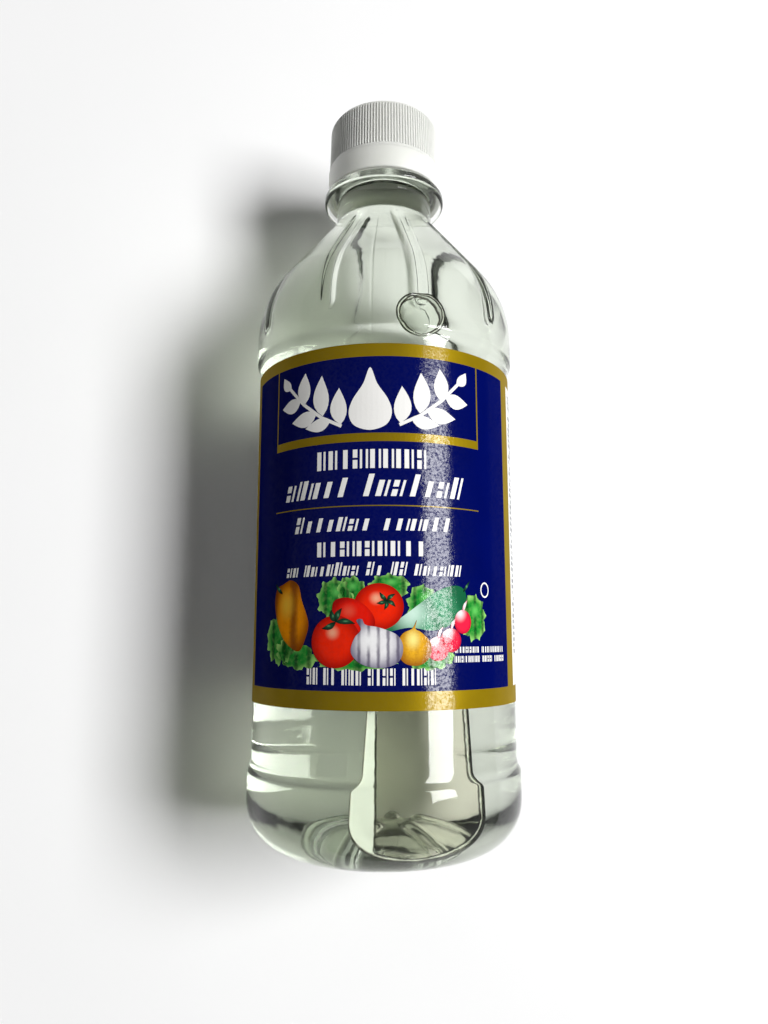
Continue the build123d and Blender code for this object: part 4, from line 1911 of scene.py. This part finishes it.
    def build(self, tree: Tree) -> None:
        """Makes the cap, its ribs and the band.

        Args:
            tree: the rule that repeats a shape about the axis.
        """
        white = MouldedFinish().material()
        self.cap(white)
        self.grip(tree, white)
        self.band(tree, white)


# ---- Studio ------------------------------------------------------------------------------


@dataclass
class Studio:
    """The pale floor, the soft key lamp on the right, the room and the camera."""

    floor_half: float = 1500.0
    floor_drop: float = 0.1
    floor_colours: tuple = ("#f8f8f8", "#f4f4f4")
    floor_cloud: float = 60.0
    key_direction: tuple = (0.52, 0.07, 0.851)
    key_distance: float = 1700.0
    key_size: tuple = (980.0, 640.0)
    key_power: float = 36.0
    fill: float = 0.09
    zenith: float = 0.5
    horizon: Point = (0.15, 0.7)
    gloss: float = 0.15
    camera_place: tuple = (-47.66, -44.99, 224.7)
    camera_toward: tuple = (-0.2419, 0.0, 0.9703)
    camera_tilt: float = 9.11
    lens: float = 26.70

    def floor(self) -> None:
        """Lays the sheet that the bottle lies on."""
        sides = ((-1, -1), (1, -1), (1, 1), (-1, 1))
        corners = [(x * self.floor_half, y * self.floor_half, -self.floor_drop) for x, y in sides]
        sheet = mesh_piece("floor_sheet", np.array(corners), [(0, 1, 2, 3)])
        material, tree, place = new_material("matt_white_sheet")
        colour = drifting_colour(tree, place, self.floor_colours, self.floor_cloud)
        matt = add_node(tree, "ShaderNodeBsdfDiffuse", {"Color": colour})
        add_node(tree, "ShaderNodeOutputMaterial", {"Surface": matt})
        sheet.data.materials.append(material)

    def lamp(self) -> None:
        """Hangs the large soft lamp."""
        light = bpy.data.lights.new("key_lamp", "AREA")
        light.shape = "RECTANGLE"
        light.size, light.size_y = (side * MM for side in self.key_size)
        light.energy = self.key_power
        toward = Vector(self.key_direction).normalized()
        lamp = bpy.data.objects.new("key_lamp", light)
        lamp.location = toward * self.key_distance * MM
        lamp.rotation_euler = toward.to_track_quat("Z", "Y").to_euler()
        bpy.context.scene.collection.objects.link(lamp)

    def room(self) -> None:
        """Surrounds the scene with a room: white at the horizon and dim overhead."""
        world = bpy.data.worlds.new("room")
        bpy.context.scene.world = world
        world.use_nodes = True
        tree = world.node_tree
        tree.nodes.clear()
        place = add_node(tree, "ShaderNodeTexCoord").outputs["Generated"]
        height = add_node(tree, "ShaderNodeSeparateXYZ", [place]).outputs[2]
        rise = add_node(tree, RANGE, [height, *self.horizon, 1.0, self.zenith], **SOFT)
        path = add_node(tree, "ShaderNodeLightPath").outputs
        mirrored = add_node(tree, MATH, [path["Is Glossy Ray"], self.gloss], operation="MULTIPLY")
        seen = add_node(tree, MATH, [mirrored, path["Is Transmission Ray"]], operation="MAXIMUM")
        strength = add_node(tree, MIX, [seen, self.fill, rise], data_type="FLOAT")
        white = add_node(tree, MATH, [strength, path["Is Camera Ray"]], operation="MAXIMUM")
        back = add_node(tree, "ShaderNodeBackground", {"Strength": white})
        add_node(tree, "ShaderNodeOutputWorld", {"Surface": back})

    def camera(self) -> None:
        """Sets the camera above the bottle."""
        toward = Vector(self.camera_toward).normalized()
        tilt = math.radians(self.camera_tilt)
        along = Vector((0, 1, 0))
        forward = math.sin(tilt) * along - math.cos(tilt) * toward
        right = along.cross(toward)
        up = right.cross(forward)
        turn = Matrix((right, up, -forward)).transposed().to_4x4()
        data = bpy.data.cameras.new("camera")
        data.lens = self.lens
        data.clip_start = 0.01
        camera = bpy.data.objects.new("camera", data)
        camera.matrix_world = Matrix.Translation(Vector(self.camera_place) * MM) @ turn
        bpy.context.scene.collection.objects.link(camera)
        bpy.context.scene.camera = camera

    def build(self) -> None:
        """Makes the whole studio."""
        self.floor()
        self.lamp()
        self.room()
        self.camera()
        scene = bpy.context.scene
        scene.view_settings.view_transform = "Standard"
        scene.cycles.max_bounces = 24
        scene.cycles.transmission_bounces = 24


def main() -> None:
    """Builds the bottle and its studio."""
    logging.basicConfig(level=logging.INFO, format="%(name)s %(message)s")
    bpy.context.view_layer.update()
    seat = Seat.from_frame()
    form = BodyForm()
    grooves = groove_tree()
    repeats = round_axis_tree()
    # Blow-moulded polyester: hard gloss with the faint waviness of a blown wall.
    plastic = ClearFinish("blown_polyester", "#f9faf8", 1.57, 0.03, "#a8aaa4", 7.0, 0.07)
    # Water-clear drink: no surface texture of its own, only a slight grey-green cast, with painted shade
    # lines, a painted highlight band and painted warm shade at the edges of its air pockets.
    liquid = ClearFinish("clear_vinegar", "#f0f4ed", 1.34, 0.0, "#f2f3ef", 40.0, 0.0, meniscus_painted_light=MeniscusPaintedLight())
    BottleShell(seat, form).build(grooves, plastic.material())
    Drink(seat, form).build(grooves, liquid.material())
    Label(seat, form).build(fine_print_tree())
    Closure(seat).build(repeats)
    Studio().build()


if __name__ == "__main__":
    main()
